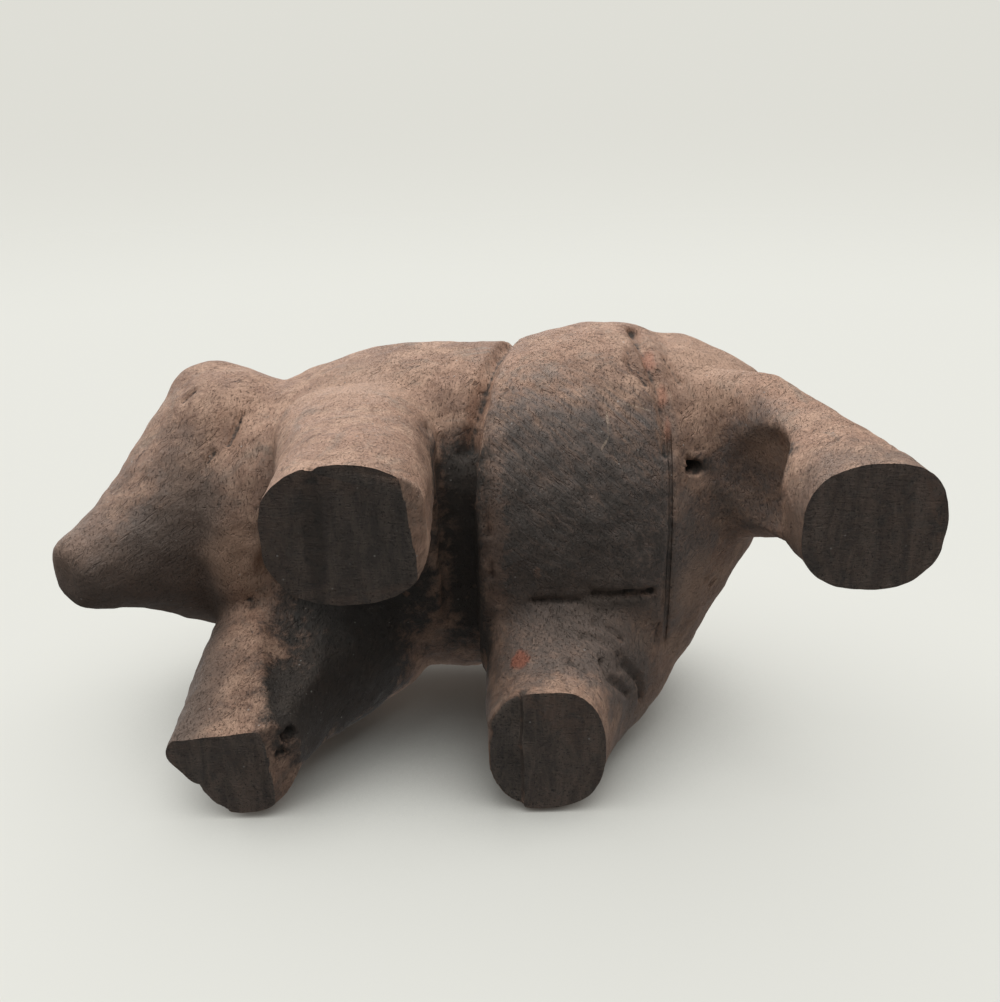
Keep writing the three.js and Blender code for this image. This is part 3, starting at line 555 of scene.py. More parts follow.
CHIPS_AT_EDGES = [
    ((-12.2, -45.6, 8.6), (1.5, 1.6, 1.2)), ((-12.0, -43.4, 6.4), (1.5, 2.2, 1.2)),
    ((-12.2, -40.4, 6.2), (1.4, 2.1, 1.1)), ((-11.8, -38.0, 7.4), (1.3, 1.8, 1.0)),
    ((-11.0, -44.2, 13.6), (1.4, 1.3, 1.7)), ((-10.8, -42.2, 11.6), (1.3, 1.6, 1.0)),
    ((-7.8, -38.0, 22.2), (1.4, 1.6, 2.0)), ((-6.6, -39.4, 27.4), (1.6, 1.8, 2.4)),
    ((-8.8, -38.6, 18.6), (1.3, 1.4, 1.7)), ((-17.4, -29.6, 3.4), (1.9, 1.5, 1.8)),
    ((-19.6, -30.4, 1.6), (1.8, 1.5, 1.5)), ((12.4, 66.4, 0), (1.2, 1.5, 0.8)),
    ((13.6, 64.4, 0), (0.8, 1.1, 0.6)), ((16, 67.6, 0), (1.0, 1.2, 0.6)),
    ((32.8, -20.6, 0), (0.9, 1.2, 0.7)), ((-30.2, -41.6, 0), (1.3, 1.3, 1.1)),
    ((-25.2, -45.2, 0), (1.2, 1.4, 1.2)), ((18.3, 40, 29.6), (1.7, 2.5, 2.3)),
    ((-8.6, 4.4, 7), (1.4, 1.0, 1.4)), ((-15.6, 3.8, 1.4), (1.6, 0.9, 1.4)),
]
EDGE_SEED = 100
for seed, (point, size) in enumerate(CHIPS_ON_THE_SKIN):
    place, inward = on_skin(point)
    torn(place - inward * min(size) * 0.5, size, seed)
for seed, (point, size) in enumerate(CHIPS_AT_EDGES, EDGE_SEED):
    torn(point, size, seed)
print("cutters in all:", len(cutters))

# %% [markdown]
# ## Cutting
# The cuts of saw, drill and knife and the chips are taken away together. The finer remesh
# gives their edges the small roundness of handled wood, and two soft displacements leave the
# faint facets and waves of knife work.

# %% Cut the block
take_away(FINE_VOXEL)


def undulate(kind, grain, strength, **settings):
    """Moves the skin in and out by a procedural texture."""
    texture = bpy.data.textures.new("knife " + kind.lower(), kind)
    texture.noise_scale = grain * MM
    for key, value in settings.items():
        setattr(texture, key, value)
    modify(skin, "DISPLACE", texture=texture, texture_coords="LOCAL", strength=strength * MM,
           mid_level=0.5)
    bpy.data.textures.remove(texture)


undulate("VORONOI", 6, 0.55, distance_metric="DISTANCE", weight_1=1)
undulate("CLOUDS", 2.4, 0.3, noise_depth=2)
modify(skin, "SMOOTH", factor=0.4, iterations=1)
print("skin:", len(skin.data.polygons), "faces", [round(v / MM, 1) for v in skin.dimensions])

# %% [markdown]
# ## The named regions
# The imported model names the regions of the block: head, forequarters, belly, hindquarters
# and four legs. The skin is divided on the same planes, so each piece stands for one solid.
# The neck's plane leans from under the chin to behind the ears, and the others are read
# from the solids' boxes. A last cut at ground level saws the four soles.

# %% Divide the skin
chin, poll = Vector((0, -50, 28)) * MM, Vector((0, -33, 76)) * MM
neck_forward = X_AXIS.cross(poll - chin).normalized()
waist = Vector((0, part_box("forequarters")[1].y, 0))
kerf = Vector((0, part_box("belly")[1].y, 0))
elbows = Vector((0, 0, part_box("fore_leg_left")[1].z))
hocks = Vector((0, 0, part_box("hind_leg_left")[1].z))


def part_off(ob, name, point, outward):
    """Divides an object at a plane: it keeps what lies behind, and the rest is returned."""
    rest = ob.copy()
    rest.data = ob.data.copy()
    bpy.context.scene.collection.objects.link(rest)
    slice_off(ob, point, outward)
    slice_off(rest, point, -Vector(outward))
    rest.name = name
    return rest


rear = part_off(skin, "rear", waist, Y_AXIS)
head = part_off(skin, "head", chin, neck_forward)
fore_legs = part_off(skin, "fore legs", elbows, -Z_AXIS)
hind_legs = part_off(rear, "hind legs", hocks, -Z_AXIS)
pieces = {
    "head": head,
    "forequarters": skin,
    "fore_leg_left": part_off(fore_legs, "fore leg", Vector(), X_AXIS),
    "fore_leg_right": fore_legs,
    "hindquarters": part_off(rear, "hindquarters", kerf, Y_AXIS),
    "belly": rear,
    "hind_leg_left": part_off(hind_legs, "hind leg", Vector(), X_AXIS),
    "hind_leg_right": hind_legs,
}
for node, piece in pieces.items():
    piece.name = "carved_" + node
    if "leg" in node:
        slice_off(piece, (0, 0, 0), -Z_AXIS)
    take_up([piece])
    bpy.ops.object.shade_smooth_by_angle(angle=math.radians(70))
    print(node, len(piece.data.polygons), "faces", [round(v / MM, 1) for v in piece.dimensions])

# %% [markdown]
# ## Painting with position
# The wood's colours follow places on the bear: soot under the belly and on the soles, raw
# wood in a few chips, painted shade in the recesses and on the head's shaded side, and painted
# light on the haunch and left flank. Small helpers build the shader's nodes, so that a finish
# reads like a recipe. All of them measure in millimetres of the bear.


# %% Recipe helpers
class Recipe:
    """Adds nodes to one material and hands on their outputs."""

    def __init__(self, name):
        self.material = bpy.data.materials.new(name)
        self.material.use_nodes = True
        self.tree = self.material.node_tree
        self.shader = self.tree.nodes["Principled BSDF"]
        place = self.tree.nodes.new("ShaderNodeTexCoord")
        self.place = self.stretched(place.outputs["Object"], (1 / MM,) * 3)
        self.geometry = self.tree.nodes.new("ShaderNodeNewGeometry")

    def add(self, kind, inputs, **settings):
        node = self.tree.nodes.new("ShaderNode" + kind)
        for key, value in settings.items():
            setattr(node, key, value)
        for key, value in inputs.items():
            if isinstance(value, bpy.types.NodeSocket):
                self.tree.links.new(value, node.inputs[key])
            else:
                node.inputs[key].default_value = value
        return node

    def stretched(self, vector, scale, turn=(0, 0, 0)):
        """A place scaled and turned, for a pattern drawn out along one way."""
        turn = [math.radians(t) for t in turn]
        return self.add("Mapping", {"Vector": vector, "Scale": scale, "Rotation": turn}
                        ).outputs["Vector"]

    def drawn_out(self, along, ratio):
        """The place for a pattern that is ratio times longer along a direction than across."""
        turn = Vector(along).to_track_quat("Z", "Y").to_euler()
        return self.add("Mapping", {
            "Vector": self.place, "Rotation": turn, "Scale": (1, 1, ratio)}, vector_type="TEXTURE"
                        ).outputs["Vector"]

    def calc(self, operation, *values, clamp=False):
        return self.add("Math", dict(enumerate(values)), operation=operation, use_clamp=clamp
                        ).outputs[0]

    def noise(self, size, detail=3, roughness=0.6, place=None, wander=0):
        """Cloudy noise whose lumps are about size millimetres, from 0 to 1."""
        return self.add("TexNoise", {
            "Vector": place or self.place, "Scale": 1 / size, "Detail": detail,
            "Roughness": roughness, "Distortion": wander}).outputs["Fac"]

    def ease(self, value, start, end, low=0.0, high=1.0):
        """value from start to end becomes low to high, eased at both ends."""
        return self.add("MapRange", {
            "Value": value, "From Min": start, "From Max": end, "To Min": low, "To Max": high,
        }, interpolation_type="SMOOTHSTEP").outputs["Result"]

    def between(self, share, a, b):
        """The number a turned into b by a share from 0 to 1."""
        return self.calc("MULTIPLY_ADD", self.calc("SUBTRACT", b, a), share, a)

    def mix(self, share, a, b, blend="MIX"):
        """Colour a turned into colour b by a share from 0 to 1."""
        a = a if isinstance(a, bpy.types.NodeSocket) else (*a, 1)
        b = b if isinstance(b, bpy.types.NodeSocket) else (*b, 1)
        return self.add("Mix", {"Factor": share, 6: a, 7: b}, data_type="RGBA", blend_type=blend
                        ).outputs[2]

    def near(self, middle, half_sizes, ragged, soft=0.5):
        """1 inside an ellipsoid, 0 well outside, with an edge made ragged by noise."""
        offset = self.add("VectorMath", {0: self.place, 1: middle}, operation="SUBTRACT")
        scaled = self.add("VectorMath", {0: offset.outputs[0], 1: half_sizes},
                          operation="DIVIDE")
        far = self.add("VectorMath", {0: scaled.outputs[0]}, operation="LENGTH").outputs["Value"]
        return self.ease(self.calc("ADD", far, ragged), 1 + soft / 2, 1 - soft / 2)

    def off_plane(self, point, across, clear=0.9):
        """0 on a plane and 1 from a clearance in mm on, on both sides."""
        offset = self.add("VectorMath", {0: self.place, 1: point}, operation="SUBTRACT")
        gap = self.add("VectorMath", {0: offset.outputs[0], 1: across},
                       operation="DOT_PRODUCT").outputs["Value"]
        return self.ease(self.calc("ABSOLUTE", gap), clear * 0.6, clear)

    def scratch(self, a, b, wide, ragged):
        """1 along a straight line from a to b, 0 beside it, with a ragged edge."""
        a, b = Vector(a), Vector(b)
        turn = (b - a).to_track_quat("Z", "Y").inverted().to_euler()
        offset = self.add("VectorMath", {0: self.place, 1: (a + b) / 2}, operation="SUBTRACT")
        lying = self.add("VectorRotate", {"Vector": offset.outputs[0], "Rotation": turn},
                         rotation_type="EULER_XYZ").outputs[0]
        scaled = self.add("VectorMath", {0: lying, 1: (wide, wide, (b - a).length / 2)},
                          operation="DIVIDE")
        far = self.add("VectorMath", {0: scaled.outputs[0]}, operation="LENGTH").outputs["Value"]
        return self.ease(self.calc("ADD", far, ragged), 1.2, 0.5)

    def most(self, *values):
        """The largest of several shares."""
        out = values[0]
        for value in values[1:]:
            out = self.calc("MAXIMUM", out, value)
        return out


print("recipe helpers ready")

# %% [markdown]
# ## The aged wood
# The wood was warm brown once. It is greyer in patches, and soot and painted shade turned it
# nearly black underneath and in the recesses; painted light brightens a few shaded spots on the
# haunch and flank. Fibres and knife strokes are noise drawn out along one way. The finish is
# built in layers: wood tone, fibres, strokes, soot, dirt and painted shade, painted light, raw
# wood, soles, worn edges and dust. Fibres, strokes, pores and rasp marks shape the bump too.

# %% Colours
WARM_BROWN = (0.49, 0.295, 0.205)
PINK_BROWN = (0.62, 0.405, 0.29)
DULL_BROWN = (0.33, 0.20, 0.14)
GREY_PATINA = (0.31, 0.245, 0.195)
DARK_BROWN = (0.115, 0.072, 0.052)
# Painted shade and dirt: this brown darkens the head's shaded side and the dirty spots.
SHADE_AND_DIRT_BROWN = (0.17, 0.13, 0.105)
SOOT_FILM = (0.235, 0.20, 0.18)
# Soot and painted shade: the two darkest tones serve both the soot and the painted shade in
# creases, recesses and the kerf.
SOOT_AND_SHADE = (0.085, 0.077, 0.068)
BLACK_SOOT_AND_SHADE = (0.052, 0.05, 0.045)
SOLE_BROWN = (0.22, 0.18, 0.15)
SOLE_BLACK = (0.115, 0.102, 0.09)
RAW_PINK = (0.56, 0.26, 0.17)
RAW_RED = (0.50, 0.15, 0.08)
PALE_WOOD = (0.72, 0.56, 0.42)
DUST = (0.55, 0.52, 0.48)
print("darkest", BLACK_SOOT_AND_SHADE, "lightest", PALE_WOOD)

# %% Ways of the fibres and strokes
HEAD_FIBRE = (0.45, 1, 0.8)
LEG_FIBRE = (0.7, 0.1, 0.7)
BELLY_STROKES = (-0.8, 1, -0.6)
print("fibres on head and legs, strokes on belly:", HEAD_FIBRE, LEG_FIBRE, BELLY_STROKES)

# %% Places on the wood, in mm: middle and half sizes
# Soot and painted shade: the notch, the hollow behind the right foreleg, the hollow under the rump,
# the slit and the knot hole turn black.
SOOT_AND_SHADE_PLACES = [
    ((-18, -26, 10), (13, 8, 9)),
    ((4, 0.2, 25), (36, 5.4, 11)),
    ((-5, -19, 25), (14, 14, 15)),
    ((-16, -21, 19), (17, 12.5, 19)),
    ((18, 52, 14), (10, 2.5, 5)),
    ((18, 0, 31), (7, 4.4, 4.4)),
    ((18.3, 40.4, 31.4), (2, 2.7, 3)),
    ((-15, -30, 10), (8, 5, 11)),
    ((-3, 27.5, 19.5), (1.2, 7, 2.5)),
    ((-18, 9.7, 0.4), (14, 0.9, 1.1)),
]
FILM_PLACES = [
    ((8, 18, 16), (24, 19, 15)),
    ((2, -20, 26), (16, 14, 10)),
    ((2, -55, 28), (12, 6, 8)),
    ((-4, -62, 19), (9, 9, 5)),
    ((15, 47, 22), (16, 8, 9)),
    ((2, 40, 24), (17, 5, 6)),
    ((-10, 24, 14), (9, 10, 7)),
    ((-13, 27, 15), (9, 8, 6)),
]
# Dirt and painted shade: the muzzle, the head's side, the right foreleg's front and the belly above
# the right thigh are darkened.
DIRT_AND_SHADE_PLACES = [
    ((1, -69, 27), (17, 17, 16)),
    ((-18, -46, 13), (13, 7, 18)),
    ((10, -51, 36), (13, 7, 11)),
    ((-6, 24, 19), (9, 9, 5)),
    ((-20, 9, 9), (14, 9, 12)),
    ((-13, 22, 15), (17, 15, 9)),
    ((21, 61, 3), (15, 15, 7)),
    ((8, -50, 33), (14, 8, 8)),
]
# Painted light: spots on the haunch, neck and left flank that stand in shade are lightened towards
# pink brown.
PAINTED_LIGHT_PLACES = [
    ((30, 45, 45), (10, 8, 10)),
    ((2, -40, 29), (6, 6, 6)),
    ((22, 50, 24), (4, 4, 4)),
    ((-4, 41, 26), (6, 4, 5)),
    ((30, -20, 40), (7, 9, 10)),
]
RAW_PLACES = [
    ((34.2, 33.3, 40.1), (1.6, 1.1, 3.2)),
    ((30.2, 35, 33.6), (2.2, 0.9, 2.8)),
    ((26, 35.6, 29.6), (2.4, 0.7, 2.0)),
    ((34.4, 8.8, 58), (1.6, 0.9, 5)),
]
SCRATCHES = [
    ((29.5, 24.9, 29.6), (25.6, 25.1, 26.4)),
    ((25.6, 25.1, 26.4), (23.2, 23.4, 24.8)),
    ((30.1, 27, 30.7), (28.4, 32.8, 30.6)),
]
print("soot lies in", len(SOOT_AND_SHADE_PLACES) + len(FILM_PLACES), "places")


# %% Aged wood
def aged_wood(name):
    """The finish of the whole block."""
    r = Recipe(name)
    where = r.add("SeparateXYZ", {"Vector": r.place}).outputs
    facing = r.add("SeparateXYZ", {"Vector": r.geometry.outputs["Normal"]}).outputs
    broad = r.noise(18, 4, 0.6)
    blotch = r.noise(6, 7, 0.68)
    mottle = r.noise(2.2, 6, 0.72, wander=0.6)
    ragged = r.ease(blotch, 0.25, 0.75, -0.3, 0.3)
    grained = r.ease(mottle, 0.3, 0.7, -0.22, 0.22)
    fibre = r.noise(1.5, 5, 0.7, r.drawn_out(LEG_FIBRE, 8), 0.5)
    on_belly = r.calc("MULTIPLY", r.ease(where["Y"], 3, 7), r.ease(where["Y"], 41, 34))
    stroke = r.between(r.ease(where["Y"], -38, -46),
                       r.noise(0.5, 4, 0.7, r.drawn_out(LEG_FIBRE, 8), 0.4),
                       r.noise(0.5, 4, 0.7, r.drawn_out(HEAD_FIBRE, 6), 0.4))
    stroke = r.between(on_belly, stroke, r.noise(0.6, 4, 0.7, r.drawn_out(BELLY_STROKES, 6), 0.5))
    gash = r.between(on_belly, r.noise(1.3, 3, 0.6, r.drawn_out(HEAD_FIBRE, 5), 0.3),
                     r.noise(1.3, 3, 0.6, r.drawn_out(BELLY_STROKES, 5), 0.3))
    pore = r.noise(0.3, 3, 0.65, r.drawn_out(LEG_FIBRE, 3))

    wood = r.mix(r.ease(broad, 0.34, 0.62), DULL_BROWN, WARM_BROWN)
    wood = r.mix(r.ease(blotch, 0.44, 0.62, 0, 0.85), wood, PINK_BROWN)
    wood = r.mix(r.ease(r.noise(9, 7, 0.72, wander=0.8), 0.5, 0.68, 0, 0.65), wood, GREY_PATINA)
    wood = r.mix(r.ease(mottle, 0.52, 0.66, 0, 0.65), wood, DULL_BROWN)
    wood = r.mix(r.ease(fibre, 0.5, 0.64, 0, 0.5), wood, DULL_BROWN)
    patchy = r.ease(r.noise(7, 4), 0.48, 0.62)
    wood = r.mix(r.ease(stroke, 0.45, 0.32, 0, 0.25), wood, PINK_BROWN)
    wood = r.mix(r.calc("MULTIPLY", r.ease(stroke, 0.56, 0.68), r.calc(
        "MULTIPLY_ADD", patchy, 0.4, 0.06)), wood, DARK_BROWN)
    wood = r.mix(r.calc("MULTIPLY", r.ease(gash, 0.62, 0.68), r.calc(
        "MULTIPLY_ADD", patchy, 0.6, 0.1)), wood, DARK_BROWN)
    wood = r.mix(r.ease(pore, 0.57, 0.72, 0, 0.45), wood, DARK_BROWN)

    film = r.most(*[r.near(middle, half, r.calc("ADD", ragged, grained), 1.0)
                    for middle, half in FILM_PLACES])
    slope = r.calc("MULTIPLY_ADD", ragged, 8, r.calc("MULTIPLY_ADD", where["Y"], 0.12, where["Z"]))
    slope = r.calc("MULTIPLY_ADD", r.ease(gash, 0.35, 0.65, -1, 1), 3.5, slope)
    belly = r.calc("MULTIPLY", on_belly, r.calc(
        "MULTIPLY", r.ease(slope, 40, 26), r.ease(where["X"], -9, 2)))
    film = r.calc("MAXIMUM", film, belly)
    smeared = r.calc("MULTIPLY_ADD", r.ease(stroke, 0.35, 0.6), 0.35, 0.65)
    wood = r.mix(r.calc("MULTIPLY", film, r.calc("MULTIPLY", smeared, 0.95, clamp=True)),
                 wood, SOOT_FILM)
    darker = r.calc("MULTIPLY", r.ease(slope, 33, 20), belly)
    wood = r.mix(r.calc("MULTIPLY", darker, r.ease(mottle, 0.35, 0.6, 0.6, 0.85)), wood, SOOT_AND_SHADE)
    underneath = r.calc("MULTIPLY", r.ease(facing["Z"], -0.2, -0.95), r.ease(slope, 44, 30))
    wood = r.mix(r.calc("MULTIPLY", underneath, 0.3), wood, SOOT_AND_SHADE)
    # Soot and painted shade: the recesses are darkened to near black.
    soot_and_shade = r.most(*[r.near(middle, half, r.calc("ADD", ragged, grained), 0.7)
                     for middle, half in SOOT_AND_SHADE_PLACES])
    wood = r.mix(r.calc("MULTIPLY", soot_and_shade, 0.93), wood,
                 r.mix(r.ease(mottle, 0.5, 0.75), BLACK_SOOT_AND_SHADE, SOOT_AND_SHADE))

    unseamed = r.calc("MULTIPLY", r.off_plane((0, waist.y / MM, 0), Y_AXIS),
                      r.off_plane((0, kerf.y / MM, 0), Y_AXIS))
    for height in (elbows.z / MM, hocks.z / MM):
        unseamed = r.calc("MULTIPLY", unseamed, r.off_plane((0, 0, height), Z_AXIS))
    unseamed = r.calc("MULTIPLY", unseamed, r.off_plane(chin / MM, neck_forward))
    sharp = r.ease(r.geometry.outputs["Pointiness"], 0.52, 0.6)
    sharp = r.calc("MULTIPLY", sharp, unseamed)
    # Painted shade: concave creases and grooves are darkened towards black, as occlusion would do.
    hollow = r.ease(r.geometry.outputs["Pointiness"], 0.488, 0.445)
    wood = r.mix(r.calc("MULTIPLY", hollow, 0.9), wood, BLACK_SOOT_AND_SHADE)

    # Painted shade: the head's side below the ridge, turned away from the light, is darkened
    # towards brown.
    ridge = r.calc("MULTIPLY_ADD", where["Y"], -0.53, where["X"])
    cheek_shade = r.calc("MULTIPLY", r.ease(r.calc("MULTIPLY_ADD", grained, 4, ridge), 43, 37),
                   r.ease(where["Y"], -41, -47))
    wood = r.mix(r.calc("MULTIPLY", cheek_shade, 0.7), wood, SHADE_AND_DIRT_BROWN)
    # Dirt and painted shade darken the muzzle, head side, foreleg front and thigh spots.
    dirt_and_shade = r.most(*[r.near(middle, half, r.calc("ADD", ragged, grained), 1.0)
                     for middle, half in DIRT_AND_SHADE_PLACES])
    wood = r.mix(r.calc("MULTIPLY", dirt_and_shade, 0.6), wood, SHADE_AND_DIRT_BROWN)
    # Painted light: the haunch, neck and flank spots are lightened towards pink brown.
    painted_light = r.most(*[r.near(middle, half, ragged, 1.0) for middle, half in PAINTED_LIGHT_PLACES])
    wood = r.mix(r.calc("MULTIPLY", painted_light, 0.6), wood, PINK_BROWN)

    raw = r.most(*[r.near(middle, half, grained, 0.8) for middle, half in RAW_PLACES])
    wood = r.mix(r.calc("MULTIPLY", raw, 0.6), wood, RAW_PINK)
    broken = r.near((8, 5.4, 21.6), (13, 2.2, 4), r.calc("MULTIPLY", grained, 3), 0.8)
    wood = r.mix(r.calc("MULTIPLY", broken, 0.2), wood, WARM_BROWN)
    red = r.near((-8.1, 9.4, 10.6), (1.8, 1.6, 2.2), grained, 0.6)
    wood = r.mix(r.calc("MULTIPLY", red, 0.6), wood, RAW_RED)

    faces_down = r.ease(facing["Z"], -0.75, -0.93)
    sole = r.calc("MULTIPLY", faces_down, r.ease(where["Z"], 1.6, 1.1))
    layers = r.noise(2.6, 6, 0.75, r.stretched(r.place, (0.25, 1, 1)), 0.5)
    rasp = r.noise(0.7, 3, 0.7, r.stretched(r.place, (2.4, 0.45, 1), (0, 0, 38)))
    sole_tone = r.mix(r.ease(layers, 0.4, 0.62), SOLE_BLACK, SOLE_BROWN)
    sole_tone = r.mix(r.ease(rasp, 0.54, 0.68, 0, 0.6), sole_tone, SOLE_BROWN)
    sole_tone = r.mix(r.ease(pore, 0.55, 0.7), sole_tone, BLACK_SOOT_AND_SHADE)
    strip = r.near((21.5, -21.2, 0), (12, 1.7, 3), grained, 0.6)
    sole_tone = r.mix(r.calc("MULTIPLY", strip, 0.75), sole_tone, BLACK_SOOT_AND_SHADE)
    forefoot = r.near((21, -17, 0), (16, 16, 8), 0, 0.3)
    sole_tone = r.mix(r.calc("MULTIPLY", forefoot, 0.35), sole_tone, BLACK_SOOT_AND_SHADE)
    wood = r.mix(r.calc("MULTIPLY", sole, 0.96), wood, sole_tone)
    wear = r.calc("MULTIPLY", sharp, r.ease(mottle, 0.3, 0.6))
    wood = r.mix(r.calc("MULTIPLY", wear, 0.45), wood, DULL_BROWN)

    # Painted shade: a dark line along the kerf, where the thin slit lies in shade; it also sinks
    # the bump there.
    kerf_shade = r.calc("MULTIPLY", r.ease(r.calc("ABSOLUTE", r.calc(
        "SUBTRACT", where["Y"], KERF_LINE[0][1])), 0.5, 0.2), r.calc(
            "MULTIPLY", r.ease(where["Z"], 31, 29), r.ease(where["X"], -15, -12)))
    wood = r.mix(r.calc("MULTIPLY", kerf_shade, 0.45), wood, BLACK_SOOT_AND_SHADE)
    for a, b in SCRATCHES:
        wood = r.mix(r.calc("MULTIPLY", r.scratch(a, b, 0.22, ragged), 0.4), wood, PALE_WOOD)
    specks = r.add("TexVoronoi", {"Vector": r.place, "Scale": 0.55}, feature="F1").outputs
    speck = r.calc("MULTIPLY", r.ease(specks["Distance"], 0.13, 0.06),
                   r.ease(r.noise(3.1, 2), 0.55, 0.62))
    wood = r.mix(r.calc("MULTIPLY", speck, 0.6), wood, DUST)
    flour = r.calc("MULTIPLY", r.ease(r.noise(0.5, 2, 0.8), 0.62, 0.75), r.ease(mottle, 0.45, 0.6))
    wood = r.mix(r.calc("MULTIPLY", flour, 0.25), wood, DUST)

    r.tree.links.new(wood, r.shader.inputs["Base Color"])
    gloss = r.ease(blotch, 0.3, 0.7, 0.55, 0.75)
    r.tree.links.new(gloss, r.shader.inputs["Roughness"])
    r.shader.inputs["Specular IOR Level"].default_value = 0.35

    relief = r.calc("MULTIPLY", fibre, 0.2)
    relief = r.calc("MULTIPLY_ADD", r.ease(stroke, 0.45, 0.7), -0.18, relief)
    relief = r.calc("MULTIPLY_ADD", r.ease(gash, 0.6, 0.68), -0.4, relief)
    relief = r.calc("MULTIPLY_ADD", kerf_shade, -1.2, relief)
    relief = r.calc("MULTIPLY_ADD", r.ease(pore, 0.55, 0.72), -0.5, relief)
    relief = r.calc("MULTIPLY_ADD", mottle, 0.8, relief)
    relief = r.calc("MULTIPLY_ADD", r.calc("MULTIPLY", rasp, sole), 1.2, relief)
    bump = r.add("Bump", {"Height": relief, "Strength": 1.0, "Distance": 0.5 * MM})
    r.tree.links.new(bump.outputs["Normal"], r.shader.inputs["Normal"])
    return r.material


wood_finish = aged_wood("aged_wood")
for piece in pieces.values():
    piece.data.materials.clear()
    piece.data.materials.append(wood_finish)
print("aged wood nodes:", len(wood_finish.node_tree.nodes))

# %% [markdown]
# ## Riding and replacing
# Nothing on the bear moves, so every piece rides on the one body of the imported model, and
# each stands for the solid of the same region.

# %% Tie the pieces to the frame
for node, piece in pieces.items():
    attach(piece, "root")
    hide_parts(node)
print("pieces:", sorted(p.name for p in pieces.values()))

# %% [markdown]
# ## Two floors
# In the photograph the bear lies on its right side on a pale sheet, but it was made to
# stand. So the scene has a sheet that touches the bear's right side and a ground under its
# soles. The ground shows from above only. The sheet shows only through a clear card in front
# of the camera, because other views show the bear standing. Neither floor shades the bear.
# Both carry a painted glow, as paper has in a white room, and a painted contact shadow dims it
# where the bear is close.

# %% Floors
PAPER = (0.30, 0.30, 0.283)
PAINTED_GLOW = (0.46, 0.46, 0.425)
PAINTED_SHADOW_REACH = 0.06
PALE_ROOM = (0.735, 0.73, 0.675)
SHEET_NEAR = 1.8
SHEET_SIZE, GROUND_SIZE, CARD_SIZE, CARD_AHEAD = 40, 6, 0.05, 0.03
SHEET_TILT = math.radians(6.8)
sheet_up = Vector((math.cos(SHEET_TILT), 0, math.sin(SHEET_TILT)))
sheet_rest = min(v.co.dot(sheet_up) for p in pieces.values() for v in p.data.vertices)


def stage_plane(name, size, middle, facing):
    """A square plane of the stage that only the camera sees."""
    bpy.ops.mesh.primitive_plane_add(size=size)
    plane = bpy.context.object
    plane.name = name
    turn = facing.to_track_quat("Z", "Y").to_matrix().to_4x4()
    plane.matrix_world = Matrix.Translation(middle) @ turn
    bpy.ops.object.transform_apply(location=True, rotation=True)
    for way in ("visible_diffuse", "visible_glossy", "visible_transmission", "visible_shadow"):
        setattr(plane, way, False)
    return plane


def seen_where(name, share_of):
    """A pale matt material with a painted glow, dimmed by a painted contact shadow near the bear,
    clear where share_of says 0.
    """
    r = Recipe(name)
    r.shader.inputs["Base Color"].default_value = (*PAPER, 1)
    r.shader.inputs["Roughness"].default_value = 1
    r.shader.inputs["Specular IOR Level"].default_value = 0
    r.shader.inputs["Emission Color"].default_value = (*PAINTED_GLOW, 1)
    # Painted contact shadow: the glow fades where the bear comes close.
    painted_shadow_clear = r.add("AmbientOcclusion", {"Distance": PAINTED_SHADOW_REACH}, samples=16).outputs["AO"]
    r.tree.links.new(r.ease(painted_shadow_clear, 0.05, 0.75), r.shader.inputs["Emission Strength"])
    clear = r.add("BsdfTransparent", {})
    both = r.add("MixShader", {
        0: share_of(r), 1: clear.outputs[0], 2: r.shader.outputs[0]})
    r.tree.links.new(both.outputs[0], r.tree.nodes["Material Output"].inputs["Surface"])
    return r.material


def sheet_share(r):
    """The sheet shows through the clear card only, and fades into the pale room far away."""
    through_card = r.calc("GREATER_THAN", r.add("LightPath", {}).outputs["Transparent Depth"], 0.5)
    away = r.add("VectorMath", {0: r.place}, operation="LENGTH").outputs["Value"]
    nearness = r.calc("DIVIDE", 1000, away)
    return r.calc("MULTIPLY", through_card, r.ease(nearness, 0, SHEET_NEAR))


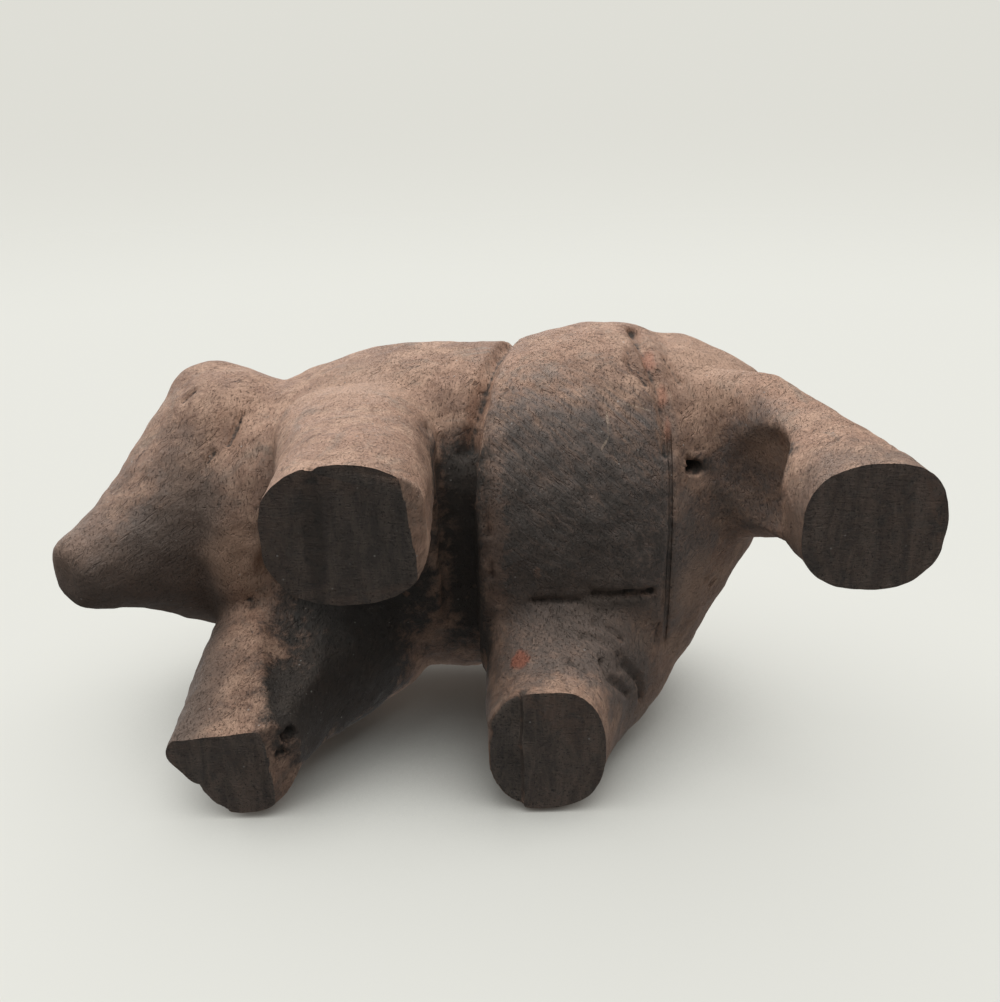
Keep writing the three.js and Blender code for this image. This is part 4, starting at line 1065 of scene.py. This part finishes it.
sheet = stage_plane("sheet", SHEET_SIZE, sheet_up * sheet_rest, sheet_up)
sheet.data.materials.append(seen_where("sheet paper", sheet_share))
ground = stage_plane("ground", GROUND_SIZE, Vector((0, 0, 0)), Z_AXIS)
ground.data.materials.append(seen_where("ground paper", lambda r: r.calc(
    "SUBTRACT", 1, r.geometry.outputs["Backfacing"])))
card = stage_plane("card", CARD_SIZE, camera.location + sight * CARD_AHEAD, -sight)
card.data.materials.append(seen_where("clear card", lambda r: r.calc("MULTIPLY", 0, 0)))
print("sheet touches the bear at", round(sheet_rest / MM, 1), "mm")

# %% [markdown]
# ## Soft light
# The picture's light falls softly from above the lying bear, which is the standing bear's
# left. A weaker light from above serves the views of the standing bear, and a faint one
# keeps its right side readable. The world fills the shadows, and the camera sees it pale.

# %% Lights
WORLD_FILL = 0.13


def soft_sun(name, towards, strength, spread):
    bpy.ops.object.light_add(type="SUN")
    lamp = bpy.context.object
    lamp.name = name
    lamp.rotation_euler = Vector(towards).to_track_quat("Z", "Y").to_euler()
    lamp.data.energy = strength
    lamp.data.angle = math.radians(spread)


for name, towards, strength, spread in [
    ("window", sheet_up - right * 0.06 + sight * 0.16, 3.15, 95),
    ("ceiling", (0.0, -0.35, 0.9), 1.2, 70),
    ("wall", (-0.75, 0.55, 0.35), 0.4, 90),
]:
    soft_sun(name, towards, strength, spread)

world = bpy.data.worlds.new("pale room")
bpy.context.scene.world = world
world.use_nodes = True
nodes, links = world.node_tree.nodes, world.node_tree.links
nodes.clear()
fill, seen = nodes.new("ShaderNodeBackground"), nodes.new("ShaderNodeBackground")
fill.inputs["Color"].default_value = (1, 0.99, 0.97, 1)
fill.inputs["Strength"].default_value = WORLD_FILL
seen.inputs["Color"].default_value = (*PALE_ROOM, 1)
ray, either, out = (nodes.new("ShaderNode" + k) for k in ("LightPath", "MixShader", "OutputWorld"))
links.new(ray.outputs["Is Camera Ray"], either.inputs[0])
links.new(fill.outputs[0], either.inputs[1])
links.new(seen.outputs[0], either.inputs[2])
links.new(either.outputs[0], out.inputs["Surface"])
bpy.context.scene.view_settings.view_transform = "Standard"
